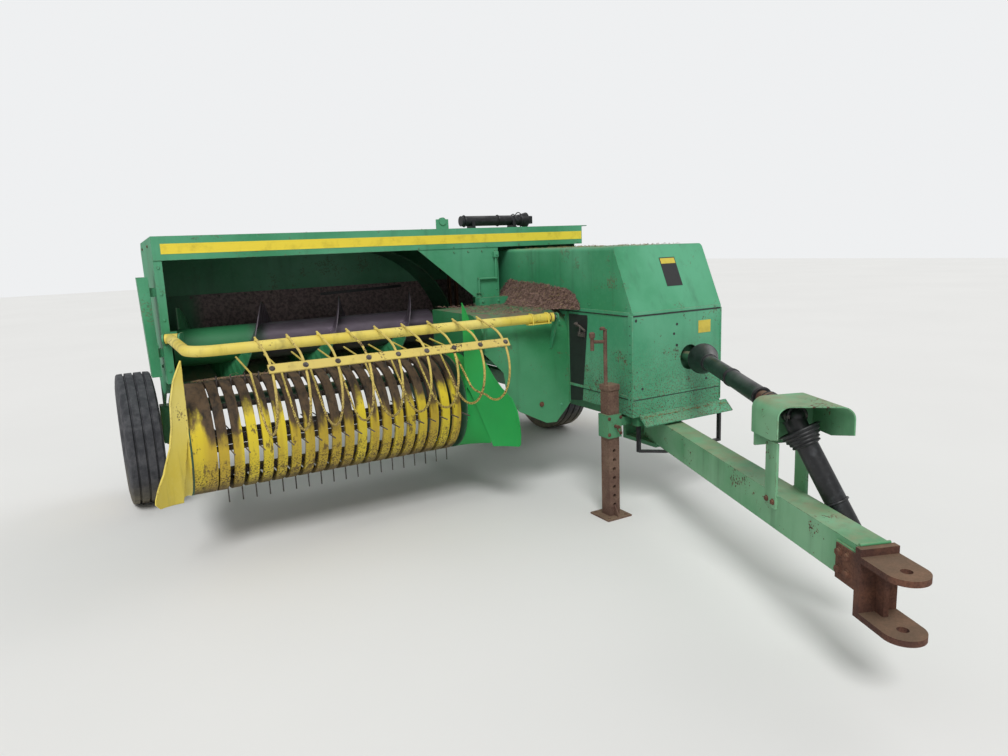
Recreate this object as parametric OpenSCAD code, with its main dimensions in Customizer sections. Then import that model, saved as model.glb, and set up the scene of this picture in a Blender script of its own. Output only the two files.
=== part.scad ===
// Small square baler with side pickup, feeder auger and swinging tongue, parked on its wheels and jack.
// X runs from the pickup side to the bale case, Y runs to the rear, Z is up. Lengths are millimetres.
// Places are written from the outer face of the housing's end wall, the front of its fascia and the ground.

/* [Feeder housing] */
// Width of the feeder housing, from its end wall to the bale case
housing_w = 1850; // [1700:10:2000]
// Height of the housing roof
housing_top = 1390; // [1350:5:1450]
// Depth of the housing roof
housing_depth = 620; // [580:5:660]
// Thickness of the housing sheet
sheet = 4; // [3:0.5:6]
// Height of the fascia rail across the front of the roof
fascia_h = 108; // [90:1:130]
// Height of the stripe along the fascia
stripe_h = 46; // [30:1:60]
// Width of the flange at the front of the end wall
post_w = 36; // [25:1:50]
// Radius of the curved guard at the end of the auger
arch_r = 528; // [500:2:540]

/* [Auger] */
// Radius of the auger flight
auger_r = 200; // [180:1:215]
// Radius of the auger drum
drum_r = 92; // [70:1:110]
// Distance from one flight turn to the next
flight_pitch = 410; // [360:5:460]
// Thickness of the flight
flight_t = 5; // [4:0.5:8]
// Distance of the auger axis behind the fascia
auger_y = 270; // [260:1:290]
// Height of the auger axis
auger_z = 850; // [830:1:870]
// Gap between the flight and the trough
auger_gap = 15; // [10:1:20]
// Length of the auger drum
auger_len = 1380; // [1300:5:1400]
// Radius of the auger's stub shaft
stub_r = 25; // [18:1:35]

/* [Pickup] */
// Radius of the stripper bands
band_r = 240; // [225:1:250]
// Width of one stripper band
band_w = 40; // [36:1:46]
// Distance from one stripper band to the next
band_pitch = 59.5; // [57:0.1:62]
// Number of stripper bands
band_count = 19; // [17:1:19]
// Thickness of a stripper band
band_t = 3; // [2:0.5:4]
// Depth of the folded edges of a stripper band
band_leg = 16; // [10:1:22]
// Radius of the tine tips
tine_tip_r = 285; // [275:1:295]
// Thickness of a tine
tine_d = 6; // [5:0.5:8]
// Thickness of the pickup's end plates
side_t = 6; // [4:0.5:8]
// Radius of the tube that carries the pickup
lift_r = 18; // [14:1:24]

/* [Windguard] */
// Radius of the windguard pipe
guard_r = 22; // [18:1:26]
// Radius of a windguard rod
guard_rod_r = 5; // [4:0.5:7]
// Distance from one windguard rod to the next
guard_pitch = 126; // [115:1:135]
// Radius of the curve of the windguard rods
guard_curve = 168; // [155:1:180]

/* [Bale case] */
// Width of the bale chamber
chamber_w = 457; // [430:1:480]
// Height of the bale chamber
chamber_h = 356; // [340:1:380]
// Thickness of the case walls
wall = 6; // [4:0.5:8]
// Height of the chamber floor
chamber_z = 555; // [545:1:570]
// Length of the bale case behind the fascia
case_rear = 1500; // [1400:10:1600]
// Length of the case in front of the fascia
case_front = 560; // [520:5:600]
// Length of the tension rails behind the case
rail_len = 1050; // [950:10:1150]
// Length of the bale chute
chute_len = 250; // [200:10:300]

/* [Twine box] */
// Width of the twine box
twine_w = 500; // [420:10:540]
// Length of the twine box
twine_len = 540; // [480:10:600]
// Height of the twine box
twine_h = 420; // [380:10:460]

/* [Shields] */
// Height of the hood roof
hood_top = 1265; // [1240:1:1275]
// Height of the seam between the hood and the front shield
hood_seam = 965; // [955:1:980]
// Distance from the fascia to the front shield
box_reach = 1080; // [1040:5:1120]
// Height of the lower edge of the front shield
box_bottom = 480; // [479:1:490]
// Radius of the long edges of the hood
hood_r = 18; // [10:1:26]
// Width of the drive shield
drive_w = 495; // [480:1:510]
// Distance from the fascia to the front of the drive shield
drive_reach = 580; // [570:1:585]

/* [Wheels] */
// Radius of the tyre under the housing
tyre_r = 350; // [335:1:360]
// Width of the tyre under the housing
tyre_w = 180; // [165:1:190]
// Radius of the tyre beside the bale case
case_tyre_r = 362; // [345:1:375]
// Width of the tyre beside the bale case
case_tyre_w = 200; // [180:1:215]
// Radius of the rims
rim_r = 190; // [185:1:195]
// Distance of the wheel axis behind the fascia
wheel_y = 640; // [620:5:680]
// Gap between a tyre and what it stands beside
tyre_gap = 20; // [12:1:30]
// Radius of the stub axles
axle_r = 20; // [16:1:26]

/* [Tongue] */
// Width of the tongue beam
tongue_w = 100; // [80:1:110]
// Height of the tongue beam
tongue_h = 125; // [110:1:140]
// Length of the beam from its pivot
tongue_len = 1690; // [1600:10:1760]
// Angle at which the tongue is parked
tongue_angle = 20.9; // [15:0.1:25]
// Radius of the tongue's pivot pin
pivot_r = 20; // [16:1:26]
// Diameter of the hitch pin hole
hitch_bore = 32; // [26:0.5:38]
// Thickness of the hitch clevis plates
clevis_t = 18; // [14:1:24]
// Distance between the two plates of the clevis
clevis_gap = 150; // [130:1:160]

/* [Driveline] */
// Height of the drive shaft where it leaves the front shield
shaft_z = 730; // [720:1:740]
// Radius of the rear shaft tube
tube_r = 35; // [32:1:40]
// Radius of the shaft that slides in the tube
inner_r = 27; // [22:1:28]
// Distance from the tongue's pivot to the shaft stand
stand_r = 1145; // [1120:1:1160]
// Radius of the flywheel
flywheel_r = 190; // [170:1:192]

/* [Jack] */
// Width of the jack leg
jack_w = 60; // [50:1:70]
// Length of the jack leg
jack_len = 636; // [600:1:680]
// Width of the jack's foot plate
foot_w = 140; // [120:1:160]

/* [Hidden] */
$fn = 48;
EPS = 0.01;

GREEN = [0.16, 0.45, 0.24];
DARK_GREEN = [0.1, 0.3, 0.17];
NEW_GREEN = [0.1, 0.62, 0.2];
YELLOW = [0.85, 0.75, 0.15];
BLACK = [0.08, 0.08, 0.09];
RUST = [0.42, 0.25, 0.17];
STEEL = [0.5, 0.5, 0.52];

// Radial gap of a running fit and gap of a face that slides
fit_gap = 0.05;
slide_gap = 0.3;

// Bale case
case_frame = 46;
case_x = housing_w;
chamber_x0 = case_x + case_frame;
chamber_x1 = chamber_x0 + chamber_w;
case_x1 = chamber_x1 + case_frame;
case_mid = (chamber_x0 + chamber_x1) / 2;
chamber_top = chamber_z + chamber_h;
case_top = chamber_top + case_frame;
case_bottom = chamber_z - case_frame;
rear_end = case_rear + rail_len;
feed_y0 = 60;
feed_y1 = 640;
needle_y = 1080;
twine_x = [chamber_x0 + 110, chamber_x1 - 120];

// Feeder housing
fascia_z = housing_top - fascia_h;
back_drop = 20;
trough_r = auger_r + auger_gap;
lip_y = auger_y - trough_r * cos(45);
seam_z = 1080;
post_bottom = 720;
gusset_x1 = case_x - 75;
gusset_z = 950;
channel_y = 40;

// Pickup
band_y = -310;
band_z = 520;
band_x0 = 133;
reel_y = band_y - 25;
reel_z = band_z - 20;
reel_shaft_r = 22;
pickup_pivot_y = 150;
pickup_pivot_z = 590;
plate_x0 = 14;
plate_x1 = 106;
band_x1 = band_x0 + (band_count - 1) * band_pitch;
pickup_x1 = band_x1 + band_w / 2 + 30;
band_back_y = 70;
band_back_z = 700;
band_low_y = -70;
sheet_t = 4;

// Windguard
guard_z = 933;
guard_front = -640;
guard_x0 = 30;
guard_y0 = -40;
guard_x1 = 1700;
guard_turn = atan2(guard_front - guard_y0, guard_x1 - guard_x0);
guard_pin_r = 8;
guard_bend = 95;
guard_rod_x0 = 285;
guard_curve_y = guard_front - 105;
guard_curve_z = guard_z - 171.5;
guard_tail = 236;
guard_tip = 315;

// Front shields
box_x0 = case_x - sheet;
box_x1 = case_x1 + sheet;
box_back = -500;
box_front = -box_reach;
hood_back = 130;
hood_slope = 137;
drive_x0 = box_x0 - drive_w;
drive_top = 960;
drive_round = 150;

// Frame and tongue
beam_h = 80;
beam_z = case_bottom - beam_h;
beam_x = [case_x + 90, case_x1 - 150];
beam_w = 60;
pivot_x = case_mid + 30.5;
pivot_y = -900;
tongue_top = 425;
tongue_z = tongue_top - tongue_h;
strap_y = -1060;
hitch_reach = tongue_len + 130;
clevis_end = hitch_reach + 60;
clevis_top = tongue_top - 22;
clevis_bottom = clevis_top - clevis_gap - 2 * clevis_t;

// Driveline
flywheel_x = case_mid + 75.5;
bell_x = flywheel_x;
bell_y = -1170;
joint_z = 705;
joint_x = pivot_x - stand_r * sin(tongue_angle);
joint_y = pivot_y - stand_r * cos(tongue_angle);
shaft_turn = atan2(bell_x - joint_x, bell_y - joint_y);
shaft_span = norm([bell_x - joint_x, bell_y - joint_y]);
shaft_dip = atan2(shaft_z - joint_z, shaft_span);
gear_shaft_r = 25;
ball_r = 30;

// Jack
jack_x = case_x - 75;
jack_y = -1000;

// Overall box, for the place of the origin
wheel_x0 = -tyre_gap - tyre_w;
wheel_x1 = case_x1 + 12 + case_tyre_w;
y_min = pivot_y - clevis_end * cos(tongue_angle) - 30 * sin(tongue_angle);
y_max = rear_end + chute_len;
origin_x = (wheel_x0 + wheel_x1) / 2;
origin_y = (y_min + y_max) / 2;

// Moves everything so that the origin is on the ground under the middle of the machine
module placed() {
    translate([-origin_x, -origin_y, 0]) children();
}

// Draws an outline given in Y and Z and stretches it along X from x0 to x1
module along_x(x0, x1) {
    translate([x0, 0, 0]) rotate([90, 0, 90]) linear_extrude(x1 - x0) children();
}

// Draws an outline given in X and Z and stretches it along Y from y0 to y1
module along_y(y0, y1) {
    translate([0, y1, 0]) rotate([90, 0, 0]) linear_extrude(y1 - y0) children();
}

// Block between two opposite corners
module block(low, high) {
    translate(low) cube(high - low);
}

// Round bar along X
module bar_x(x0, x1, y, z, r) {
    translate([x0, y, z]) rotate([0, 90, 0]) cylinder(h = x1 - x0, r = r);
}

// Round bar along Y
module bar_y(y0, y1, x, z, r) {
    translate([x, y1, z]) rotate([90, 0, 0]) cylinder(h = y1 - y0, r = r);
}

// Round rod between two points
module rod(a, b, r) {
    d = b - a;
    translate(a)
        rotate([0, acos(d[2] / norm(d)), atan2(d[1], d[0])])
            cylinder(h = norm(d), r = r);
}

// Box outline whose upper corners are rounded
module rounded_top(x0, x1, z0, z1, r) {
    translate([x0, z0]) square([x1 - x0, z1 - r - z0]);
    translate([x0 + r, z0]) square([x1 - x0 - 2 * r, z1 - z0]);
    for (x = [x0 + r, x1 - r])
        translate([x, z1 - r]) circle(r = r);
}

// Outline of the housing in Y and Z, grown outwards by t
module housing_outline(t) {
    translate([auger_y, auger_z]) circle(r = trough_r + t);
    polygon([
        [0, auger_z], [0, housing_top + t], [housing_depth - 40 + t, housing_top - back_drop + t],
        [housing_depth + t, housing_top - 60], [auger_y + trough_r + 60 + t, auger_z + 60],
        [auger_y + trough_r - 8 + t, auger_z - 4], [auger_y, auger_z - 4]
    ]);
}

// Wrapped sheet of the housing in Y and Z, open towards the pickup
module housing_wrap() {
    difference() {
        housing_outline(0);
        housing_outline(-sheet);
        translate([-1, 0]) square([lip_y + 1, auger_z]);
        translate([-1, auger_z - 1]) square([auger_y - 40, fascia_z - auger_z]);
    }
}

module end_wall() {
    color(GREEN) placed() difference() {
        union() {
            along_x(0, sheet) {
                housing_outline(0);
                polygon([
                    [0, post_bottom], [0, auger_z], [auger_y, auger_z],
                    [auger_y - trough_r * 0.79, post_bottom]
                ]);
            }
            block([0, 0, post_bottom], [post_w, sheet, fascia_z]);
            bar_x(sheet, sheet + 18, auger_y, auger_z, stub_r + 22);
        }
        bar_x(-1, sheet + 19, auger_y, auger_z, stub_r + fit_gap);
    }
}

module end_channel() {
    color(GREEN) placed() {
        difference() {
            along_y(channel_y, channel_y + 70) polygon([[-72, 1210], [-26, 1210], [-16, 752], [-58, 752]]);
            along_y(channel_y + sheet, channel_y + 71) polygon([
                [-72 + sheet, 1210 - sheet], [-26 - sheet, 1210 - sheet],
                [-16 - sheet, 751], [-58 + sheet, 751]
            ]);
            for (x = [-66, -46])
                block([x, channel_y + 14, 1200], [x + 10, channel_y + 56, 1215]);
        }
        for (z = [840, 1120])
            block([-30, channel_y + 20, z], [0, channel_y + 50, z + 40]);
    }
}

module housing_back() {
    color(DARK_GREEN) placed() {
        along_x(sheet, case_x1) intersection() {
            housing_wrap();
            translate([-1, seam_z]) square([housing_depth + 60, 600]);
        }
        along_x(case_x1 - sheet, case_x1) difference() {
            housing_outline(0);
            translate([-1, 0]) square([housing_depth + 60, case_top]);
            translate([-1, case_top - 1]) square([hood_back + 1, housing_top - case_top - sheet]);
        }
    }
}

module feeder_trough() {
    color(DARK_GREEN) placed() {
        along_x(sheet, chamber_x0 - wall) intersection() {
            housing_wrap();
            translate([-1, 0]) square([housing_depth + 60, seam_z]);
        }
    }
}

module fascia() {
    color(GREEN) placed() {
        block([0, -sheet, fascia_z], [case_x1 - 40, 0, housing_top]);
        block([sheet, -sheet, fascia_z], [case_x1 - 40, 16, fascia_z + sheet]);
    }
}

module stripe() {
    color(YELLOW) placed() block(
        [post_w, -sheet - 1, fascia_z + 28],
        [case_x1 - 44, -sheet, fascia_z + 28 + stripe_h]
    );
}

module gusset_panel() {
    color(GREEN) placed() along_y(0, sheet) polygon([
        [case_x - 566, fascia_z], [gusset_x1, fascia_z], [gusset_x1, gusset_z],
        [case_x - 180, gusset_z], [case_x - 196, 980], [case_x - 355, 1110]
    ]);
}

// Curved guard between the end of the auger and the feeder, seated on the back wall
module feeder_arch() {
    color(DARK_GREEN) placed() intersection() {
        along_x(case_x - 700, case_x) housing_outline(-sheet);
        along_y(300, 700) difference() {
            translate([case_x - 745, 769]) circle(r = arch_r);
            translate([case_x - 745, 769]) circle(r = arch_r - sheet);
            translate([case_x - 1400, 200]) square([720, 1200]);
            translate([case_x - 1400, 0]) square([1400, 880]);
        }
    }
}

module feeder_fingers() {
    color(RUST) placed() {
        bar_x(case_x - 240, case_x - 20, 430, 1180, 18);
        for (x = [case_x - 189, case_x - 142])
            along_x(x, x + 12) polygon([[416, 1190], [416, 900], [424, 870], [436, 870], [444, 900], [444, 1190]]);
        for (x = [case_x - 230, case_x - 38])
            along_x(x, x + 8) intersection() {
                housing_outline(-sheet);
                translate([400, 1150]) square([60, 300]);
            }
    }
}

module bale_case() {
    color(GREEN) placed() difference() {
        union() {
            block([chamber_x0 - wall, -case_front, chamber_z - wall],
                [chamber_x1 + wall, case_rear, chamber_top + wall]);
            for (y = [-case_front, 700, 1130, case_rear - 40])
                block([case_x, y, case_bottom], [case_x1, y + 40, case_top]);
            for (z = [chamber_z - wall - 30, chamber_top + wall])
                for (x = [chamber_x0 - wall, chamber_x1 + wall - 8])
                    block([x, 740, z], [x + 8, case_rear, z + 30]);
        }
        block([chamber_x0, -case_front - 1, chamber_z], [chamber_x1, case_rear + 1, chamber_top]);
        block([case_x - 1, feed_y0, chamber_z + 20], [chamber_x0 + 1, feed_y1, chamber_top]);
        for (x = twine_x)
            block([x - 14, needle_y - 90, case_bottom - 1], [x + 14, needle_y + 30, case_top + 1]);
        for (y = [-case_front - 1, 699, 1129, case_rear - 41])
            for (x = [case_x - 1, chamber_x1 + wall + 6])
                block([x, y + 9, case_bottom + 8], [x + case_frame - wall - 5, y + 43, case_top - 8]);
    }
}

module tension_rails() {
    color(GREEN) placed() {
        for (x = [chamber_x0 - wall, chamber_x1 - 54])
            for (z = [chamber_z - wall, chamber_top])
                block([x, case_rear, z], [x + 60, rear_end, z + wall]);
        for (x = [chamber_x0 - wall, chamber_x1])
            difference() {
                block([x, case_rear, chamber_z], [x + wall, rear_end, chamber_top]);
                for (z = [chamber_z + 30, chamber_z + chamber_h / 2 + 20])
                    block([x - 1, case_rear + 60, z], [x + wall + 1, rear_end - 60, z + chamber_h / 2 - 50]);
            }
    }
}

// Coil spring drawn as a turned stack of rings
module spring(h, r, turns) {
    step = h / turns;
    rotate_extrude($fn = 24) polygon(concat(
        [[14, 0]],
        [for (i = [0:turns - 1]) each [[r - 4, i * step], [r, (i + 0.5) * step]]],
        [[r - 4, h], [14, h]]
    ));
}

module tension_screws() {
    screw_y = rear_end - 160;
    color(STEEL) placed() {
        for (x = [case_x + 18, case_x1 - 18]) {
            translate([x, screw_y, chamber_z - 90]) cylinder(h = chamber_h + 330, r = 10.5);
            translate([x, screw_y, chamber_top + wall + 40]) spring(120, 24, 8);
            translate([x, screw_y, chamber_top + wall + 160]) cylinder(h = 12, r = 24, $fn = 6);
            bar_y(screw_y - 90, screw_y, x, chamber_top + 225, 7);
            translate([x, screw_y - 90, chamber_top + 214]) cylinder(h = 80, r = 9);
        }
        for (z = [chamber_z - wall - 40, chamber_top + wall])
            block([case_x, screw_y - 25, z], [case_x1, screw_y + 25, z + 40]);
    }
}

module bale_chute() {
    color(GREEN) placed() {
        along_x(chamber_x0, chamber_x1) polygon([
            [rear_end, chamber_z - wall], [rear_end + chute_len, chamber_z - 70],
            [rear_end + chute_len, chamber_z - 70 + wall], [rear_end, chamber_z]
        ]);
        for (x = [chamber_x0, chamber_x1 - wall])
            along_x(x, x + wall) polygon([
                [rear_end, chamber_z - wall], [rear_end + chute_len, chamber_z - 70],
                [rear_end + chute_len - 40, chamber_z + 10], [rear_end, chamber_z + 70]
            ]);
    }
}

// Side outline of the knotter's cam gear, with its plain part and its teeth
module cam_gear() {
    difference() {
        union() {
            circle(r = 128);
            for (a = [-40:10:80])
                rotate(a) translate([126, -5]) square([12, 10]);
        }
        circle(r = 92);
    }
    circle(r = 34);
    for (a = [30, 150, 270])
        rotate(a) translate([0, -12]) square([96, 24]);
}

module knotters() {
    shaft_y = needle_y - 60;
    knot_z = case_top + 190;
    color(RUST) placed() {
        difference() {
            block([chamber_x0 - wall, shaft_y - 120, case_top], [chamber_x1 + wall, shaft_y + 90, case_top + 12]);
            for (x = twine_x)
                block([x - 16, needle_y - 92, case_top - 1], [x + 16, needle_y + 32, case_top + 13]);
        }
        for (x = [chamber_x0 - wall + 8, chamber_x1 + wall - 38])
            for (y = [shaft_y - 120, shaft_y + 60])
                block([x, y, chamber_top + wall], [x + 30, y + 30, case_top]);
        bar_x(chamber_x0 - 30, chamber_x1 + 30, shaft_y, knot_z, 16);
        for (x = twine_x) {
            along_x(x + 20, x + 42) translate([shaft_y, knot_z]) cam_gear();
            along_x(x - 36, x - 24) difference() {
                polygon([
                    [shaft_y - 70, case_top + 12], [shaft_y + 50, case_top + 12], [shaft_y + 34, knot_z + 24],
                    [shaft_y - 34, knot_z + 24]
                ]);
                translate([shaft_y, knot_z - 80]) circle(r = 24);
            }
            bar_x(x - 24, x + 20, shaft_y + 24, case_top + 70, 22);
            bar_x(x - 24, x + 60, shaft_y - 48, case_top + 50, 9);
            rod([x - 4, shaft_y + 24, case_top + 70], [x - 4, shaft_y + 62, case_top + 26], 10);
        }
        bar_x(chamber_x0 - 30, chamber_x0 - 6, shaft_y, knot_z, 90);
        block([chamber_x0 - 42, shaft_y - 30, case_top], [chamber_x0 - 30, shaft_y + 30, knot_z + 24]);
        block([chamber_x0 - 42, shaft_y - 30, case_top], [chamber_x0 - wall, shaft_y + 30, case_top + 12]);
    }
}

module needle_frame() {
    arm_y = needle_y;
    color(RUST) placed() {
        bar_x(case_x - 20, case_x1 + 20, arm_y, chamber_z - 250, 20);
        for (x = [case_x - 20, case_x1])
            along_x(x, x + 20) {
                translate([arm_y, chamber_z - 250]) circle(r = 34);
                polygon([
                    [arm_y - 24, chamber_z - 250], [arm_y + 24, chamber_z - 250], [arm_y - 16, chamber_z + 60],
                    [arm_y - 56, chamber_z + 60]
                ]);
            }
        bar_x(case_x - 20, chamber_x0 - wall, arm_y - 36, chamber_z + 36, 14);
        bar_x(chamber_x1 + wall, case_x1 + 20, arm_y - 36, chamber_z + 36, 14);
        for (x = twine_x)
            along_x(x - 8, x + 8) difference() {
                translate([arm_y, chamber_z + 60]) circle(r = 330);
                translate([arm_y - 8, chamber_z + 70]) circle(r = 298);
                translate([arm_y - 480, chamber_z - 40]) square([1000, 600]);
                translate([arm_y, 0]) square([600, 1200]);
            }
    }
}

module twine_box() {
    x1 = case_x - 50;
    x0 = x1 - twine_w;
    color(GREEN) placed() {
        difference() {
            block([x0, 700, 760], [x1, 700 + twine_len, 760 + twine_h]);
            block([x0 + sheet, 700 + sheet, 760 + sheet], [x1 - sheet, 700 + twine_len - sheet, 761 + twine_h]);
        }
        for (y = [780, 1060])
            block([x1, y, 790], [chamber_x0 - wall, y + 40, 830]);
        for (x = [x0 + 60, x1 - 100])
            along_x(x, x + 40) {
                translate([710 + twine_len, 760 + twine_h]) circle(r = 10);
                polygon([
                    [700 + twine_len, 730 + twine_h], [710 + twine_len, 750 + twine_h],
                    [710 + twine_len, 760 + twine_h], [700 + twine_len, 760 + twine_h]
                ]);
            }
        bar_x(x0 + 20, x1 - 20, 710 + twine_len, 760 + twine_h, 5);
    }
}

module twine_lid() {
    x1 = case_x - 50;
    x0 = x1 - twine_w;
    z = 760 + twine_h + slide_gap;
    color(GREEN) placed() {
        difference() {
            union() {
                block([x0 - 9, 691, z - 25], [x1 + 9, 698 + twine_len, z + sheet]);
                for (x = [x0 + 24, x1 - 56])
                    along_x(x, x + 32) {
                        translate([710 + twine_len, 760 + twine_h]) circle(r = 10);
                        translate([690 + twine_len, z]) square([20, sheet]);
                    }
            }
            block([x0 - 9 + sheet, 691 + sheet, z - 26], [x1 + 9 - sheet, 699 + twine_len, z]);
            bar_x(x0, x1, 710 + twine_len, 760 + twine_h, 5 + fit_gap);
        }
    }
}

module main_frame() {
    color(GREEN) placed() {
        for (x = beam_x)
            block([x, strap_y + 36, beam_z], [x + beam_w, wheel_y + 100, case_bottom]);
        block([case_x + 36, strap_y - 4, beam_z + 1], [case_x1 + 41, strap_y + 36, box_bottom - 2]);
        block([0, wheel_y - 40, beam_z + 20], [beam_x[0], wheel_y + 40, case_bottom]);
        for (x = [20, 900, case_x - 70])
            along_x(x, x + 8) difference() {
                polygon([
                    [wheel_y - 40, case_bottom], [wheel_y + 40, case_bottom], [wheel_y, 900],
                    [auger_y + trough_r + 60, 905], [auger_y + trough_r - 10, auger_z], [auger_y + 130, 640]
                ]);
                housing_outline(0);
            }
        block([beam_x[0], pivot_y - 90, tongue_top + slide_gap],
            [beam_x[1] + beam_w, pivot_y + 160, tongue_top + 20]);
        block([pivot_x - 90, pivot_y - 90, tongue_z - 20], [pivot_x + 90, pivot_y + 160, tongue_z - slide_gap]);
        block([pivot_x - 90, pivot_y + 140, tongue_z - 20], [pivot_x + 90, pivot_y + 160, tongue_top + 20]);
        translate([pivot_x, pivot_y, tongue_z - 34]) cylinder(h = tongue_h + 60, r = pivot_r);
    }
}

module pickup_hangers() {
    color(GREEN) placed() for (x = [60, pickup_x1 - 74])
        along_x(x, x + 8) difference() {
            union() {
                polygon([[100, 600], [200, 600], [230, 660], [90, 740]]);
                translate([pickup_pivot_y, pickup_pivot_z]) circle(r = lift_r + 18);
            }
            translate([auger_y, auger_z]) circle(r = trough_r);
            translate([pickup_pivot_y, pickup_pivot_z]) circle(r = lift_r + fit_gap);
        }
}

module axle() {
    color(GREEN) placed() {
        block([0, wheel_y - 40, tyre_r - 45], [40, wheel_y + 40, beam_z + 20]);
        bar_x(-14, 0, wheel_y, tyre_r, 34);
        bar_x(-tyre_gap - tyre_w + 34, 0, wheel_y, tyre_r, axle_r);
        block([beam_x[1], wheel_y - 40, case_tyre_r - 45], [beam_x[1] + beam_w, wheel_y + 40, beam_z]);
        bar_x(beam_x[1] + beam_w, case_x1 + 6, wheel_y, case_tyre_r, 34);
        bar_x(case_x1, case_x1 + case_tyre_w - 20, wheel_y, case_tyre_r, axle_r);
    }
}

module gearbox() {
    color(DARK_GREEN) placed() difference() {
        union() {
            block([case_mid - 95, -760, case_bottom - 60], [case_mid + 95, -case_front, 900]);
            bar_y(-915, -760, flywheel_x, shaft_z, 60);
        }
        bar_y(-916, -840, flywheel_x, shaft_z, gear_shaft_r + fit_gap);
    }
}

module hood() {
    color(GREEN) placed() difference() {
        intersection() {
            along_x(box_x0, box_x1) polygon([
                [hood_back, hood_seam], [hood_back, hood_top], [box_front + hood_slope, hood_top],
                [box_front, hood_seam]
            ]);
            along_y(box_front - 1, hood_back + 1)
                rounded_top(box_x0, box_x1, hood_seam - 1, hood_top, hood_r);
        }
        intersection() {
            along_x(box_x0, box_x1) polygon([
                [hood_back + 1, hood_seam - 1], [hood_back + 1, hood_top],
                [box_front + hood_slope + sheet, hood_top], [box_front + sheet * 1.1, hood_seam - 1]
            ]);
            along_y(box_front - 1, hood_back + 1)
                rounded_top(box_x0 + sheet, box_x1 - sheet, hood_seam - 1, hood_top - sheet, hood_r - sheet);
        }
    }
}

module front_shield() {
    color(GREEN) placed() {
        difference() {
            along_x(box_x0, box_x1) polygon([
                [box_back, hood_seam], [box_front, hood_seam], [box_front, box_bottom],
                [-845, box_bottom + 20], [-675, box_bottom + 20], [box_back, box_bottom + 100]
            ]);
            along_x(box_x0 + sheet, box_x1 - sheet) polygon([
                [box_back + 1, hood_seam + 1], [box_front + sheet, hood_seam + 1],
                [box_front + sheet, box_bottom - 1], [box_back + 1, box_bottom - 1]
            ]);
            bar_y(box_front - 1, box_front + 10, flywheel_x, shaft_z, 60);
        }
        along_x(box_x0 + 40, box_x1 + 45) polygon([
            [box_front, box_bottom + 8], [box_front - 45, box_bottom - 37], [box_front - 41, box_bottom - 40],
            [box_front + sheet, box_bottom + 4], [box_front + sheet, box_bottom + 8]
        ]);
    }
}

// Shield of the feeder and pickup drive, open below and behind
module drive_shield() {
    front = -drive_reach;
    color(GREEN) placed() intersection() {
        difference() {
            along_x(drive_x0, box_x0) {
                polygon([[front, 300], [0, 300], [0, drive_top], [front + drive_round, drive_top],
                    [front, drive_top - drive_round]]);
                translate([front + drive_round, drive_top - drive_round]) circle(r = drive_round);
            }
            along_x(drive_x0 + sheet, box_x0 - sheet) {
                polygon([
                    [front + sheet, 299], [1, 299], [1, drive_top - sheet],
                    [front + drive_round, drive_top - sheet], [front + sheet, drive_top - drive_round]
                ]);
                translate([front + drive_round, drive_top - drive_round]) circle(r = drive_round - sheet);
            }
        }
        along_y(front - 1, 1) polygon([
            [drive_x0, drive_top + 1], [drive_x0, 776], [drive_x0 + 100, 675], [drive_x0 + 118, 547],
            [drive_x0 + 184, 466], [drive_x0 + 345, 384], [drive_x0 + 406, 380], [box_x0, 470],
            [box_x0, drive_top + 1]
        ]);
    }
}

module jack_bracket() {
    s = jack_w / 2 + slide_gap;
    color(GREEN) placed() difference() {
        union() {
            block([jack_x - s - 8, jack_y - s - 8, 390], [jack_x + s + 8, jack_y + s + 8, 500]);
            block([jack_x + s + 8, jack_y - 10, beam_z + 4], [beam_x[0], jack_y + 36, beam_z + 44]);
        }
        block([jack_x - s, jack_y - s, 389], [jack_x + s, jack_y + s, 501]);
    }
}

// Square leg with a rack of holes, a foot plate and a crank
module jack_leg() {
    s = jack_w / 2;
    color(RUST) placed() difference() {
        union() {
            block([jack_x - s, jack_y - s, 8], [jack_x + s, jack_y + s, jack_len]);
            block([jack_x - foot_w / 2, jack_y - foot_w / 2, 0], [jack_x + foot_w / 2, jack_y + foot_w / 2, 8]);
            translate([jack_x - s + 8, jack_y, jack_len]) cylinder(h = 262, r = 9);
            rod([jack_x - s + 8, jack_y, jack_len + 204], [jack_x - s - 66, jack_y, jack_len + 210], 8);
            rod([jack_x - s - 66, jack_y, jack_len + 170], [jack_x - s - 66, jack_y, jack_len + 240], 9);
        }
        for (z = [60:44:340])
            bar_y(jack_y - s - 1, jack_y + s + 1, jack_x, z, 9);
    }
}

module guide_strap() {
    color(BLACK) placed() along_y(strap_y, strap_y + 20) polygon([
        [case_x + 50, beam_z + 1], [case_x + 50, 300], [case_x + 220, 268], [case_x1 + 40, 268],
        [case_x1 + 40, beam_z + 1], [case_x1 + 28, beam_z + 1], [case_x1 + 28, 280], [case_x + 222, 280],
        [case_x + 62, 310], [case_x + 62, beam_z + 1]
    ]);
}

// Places its children with X along the axis on which the windguard turns, 0 at the end wall
module on_guard() {
    translate([guard_x0, guard_y0, guard_z]) rotate([0, 0, guard_turn]) children();
}

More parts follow.
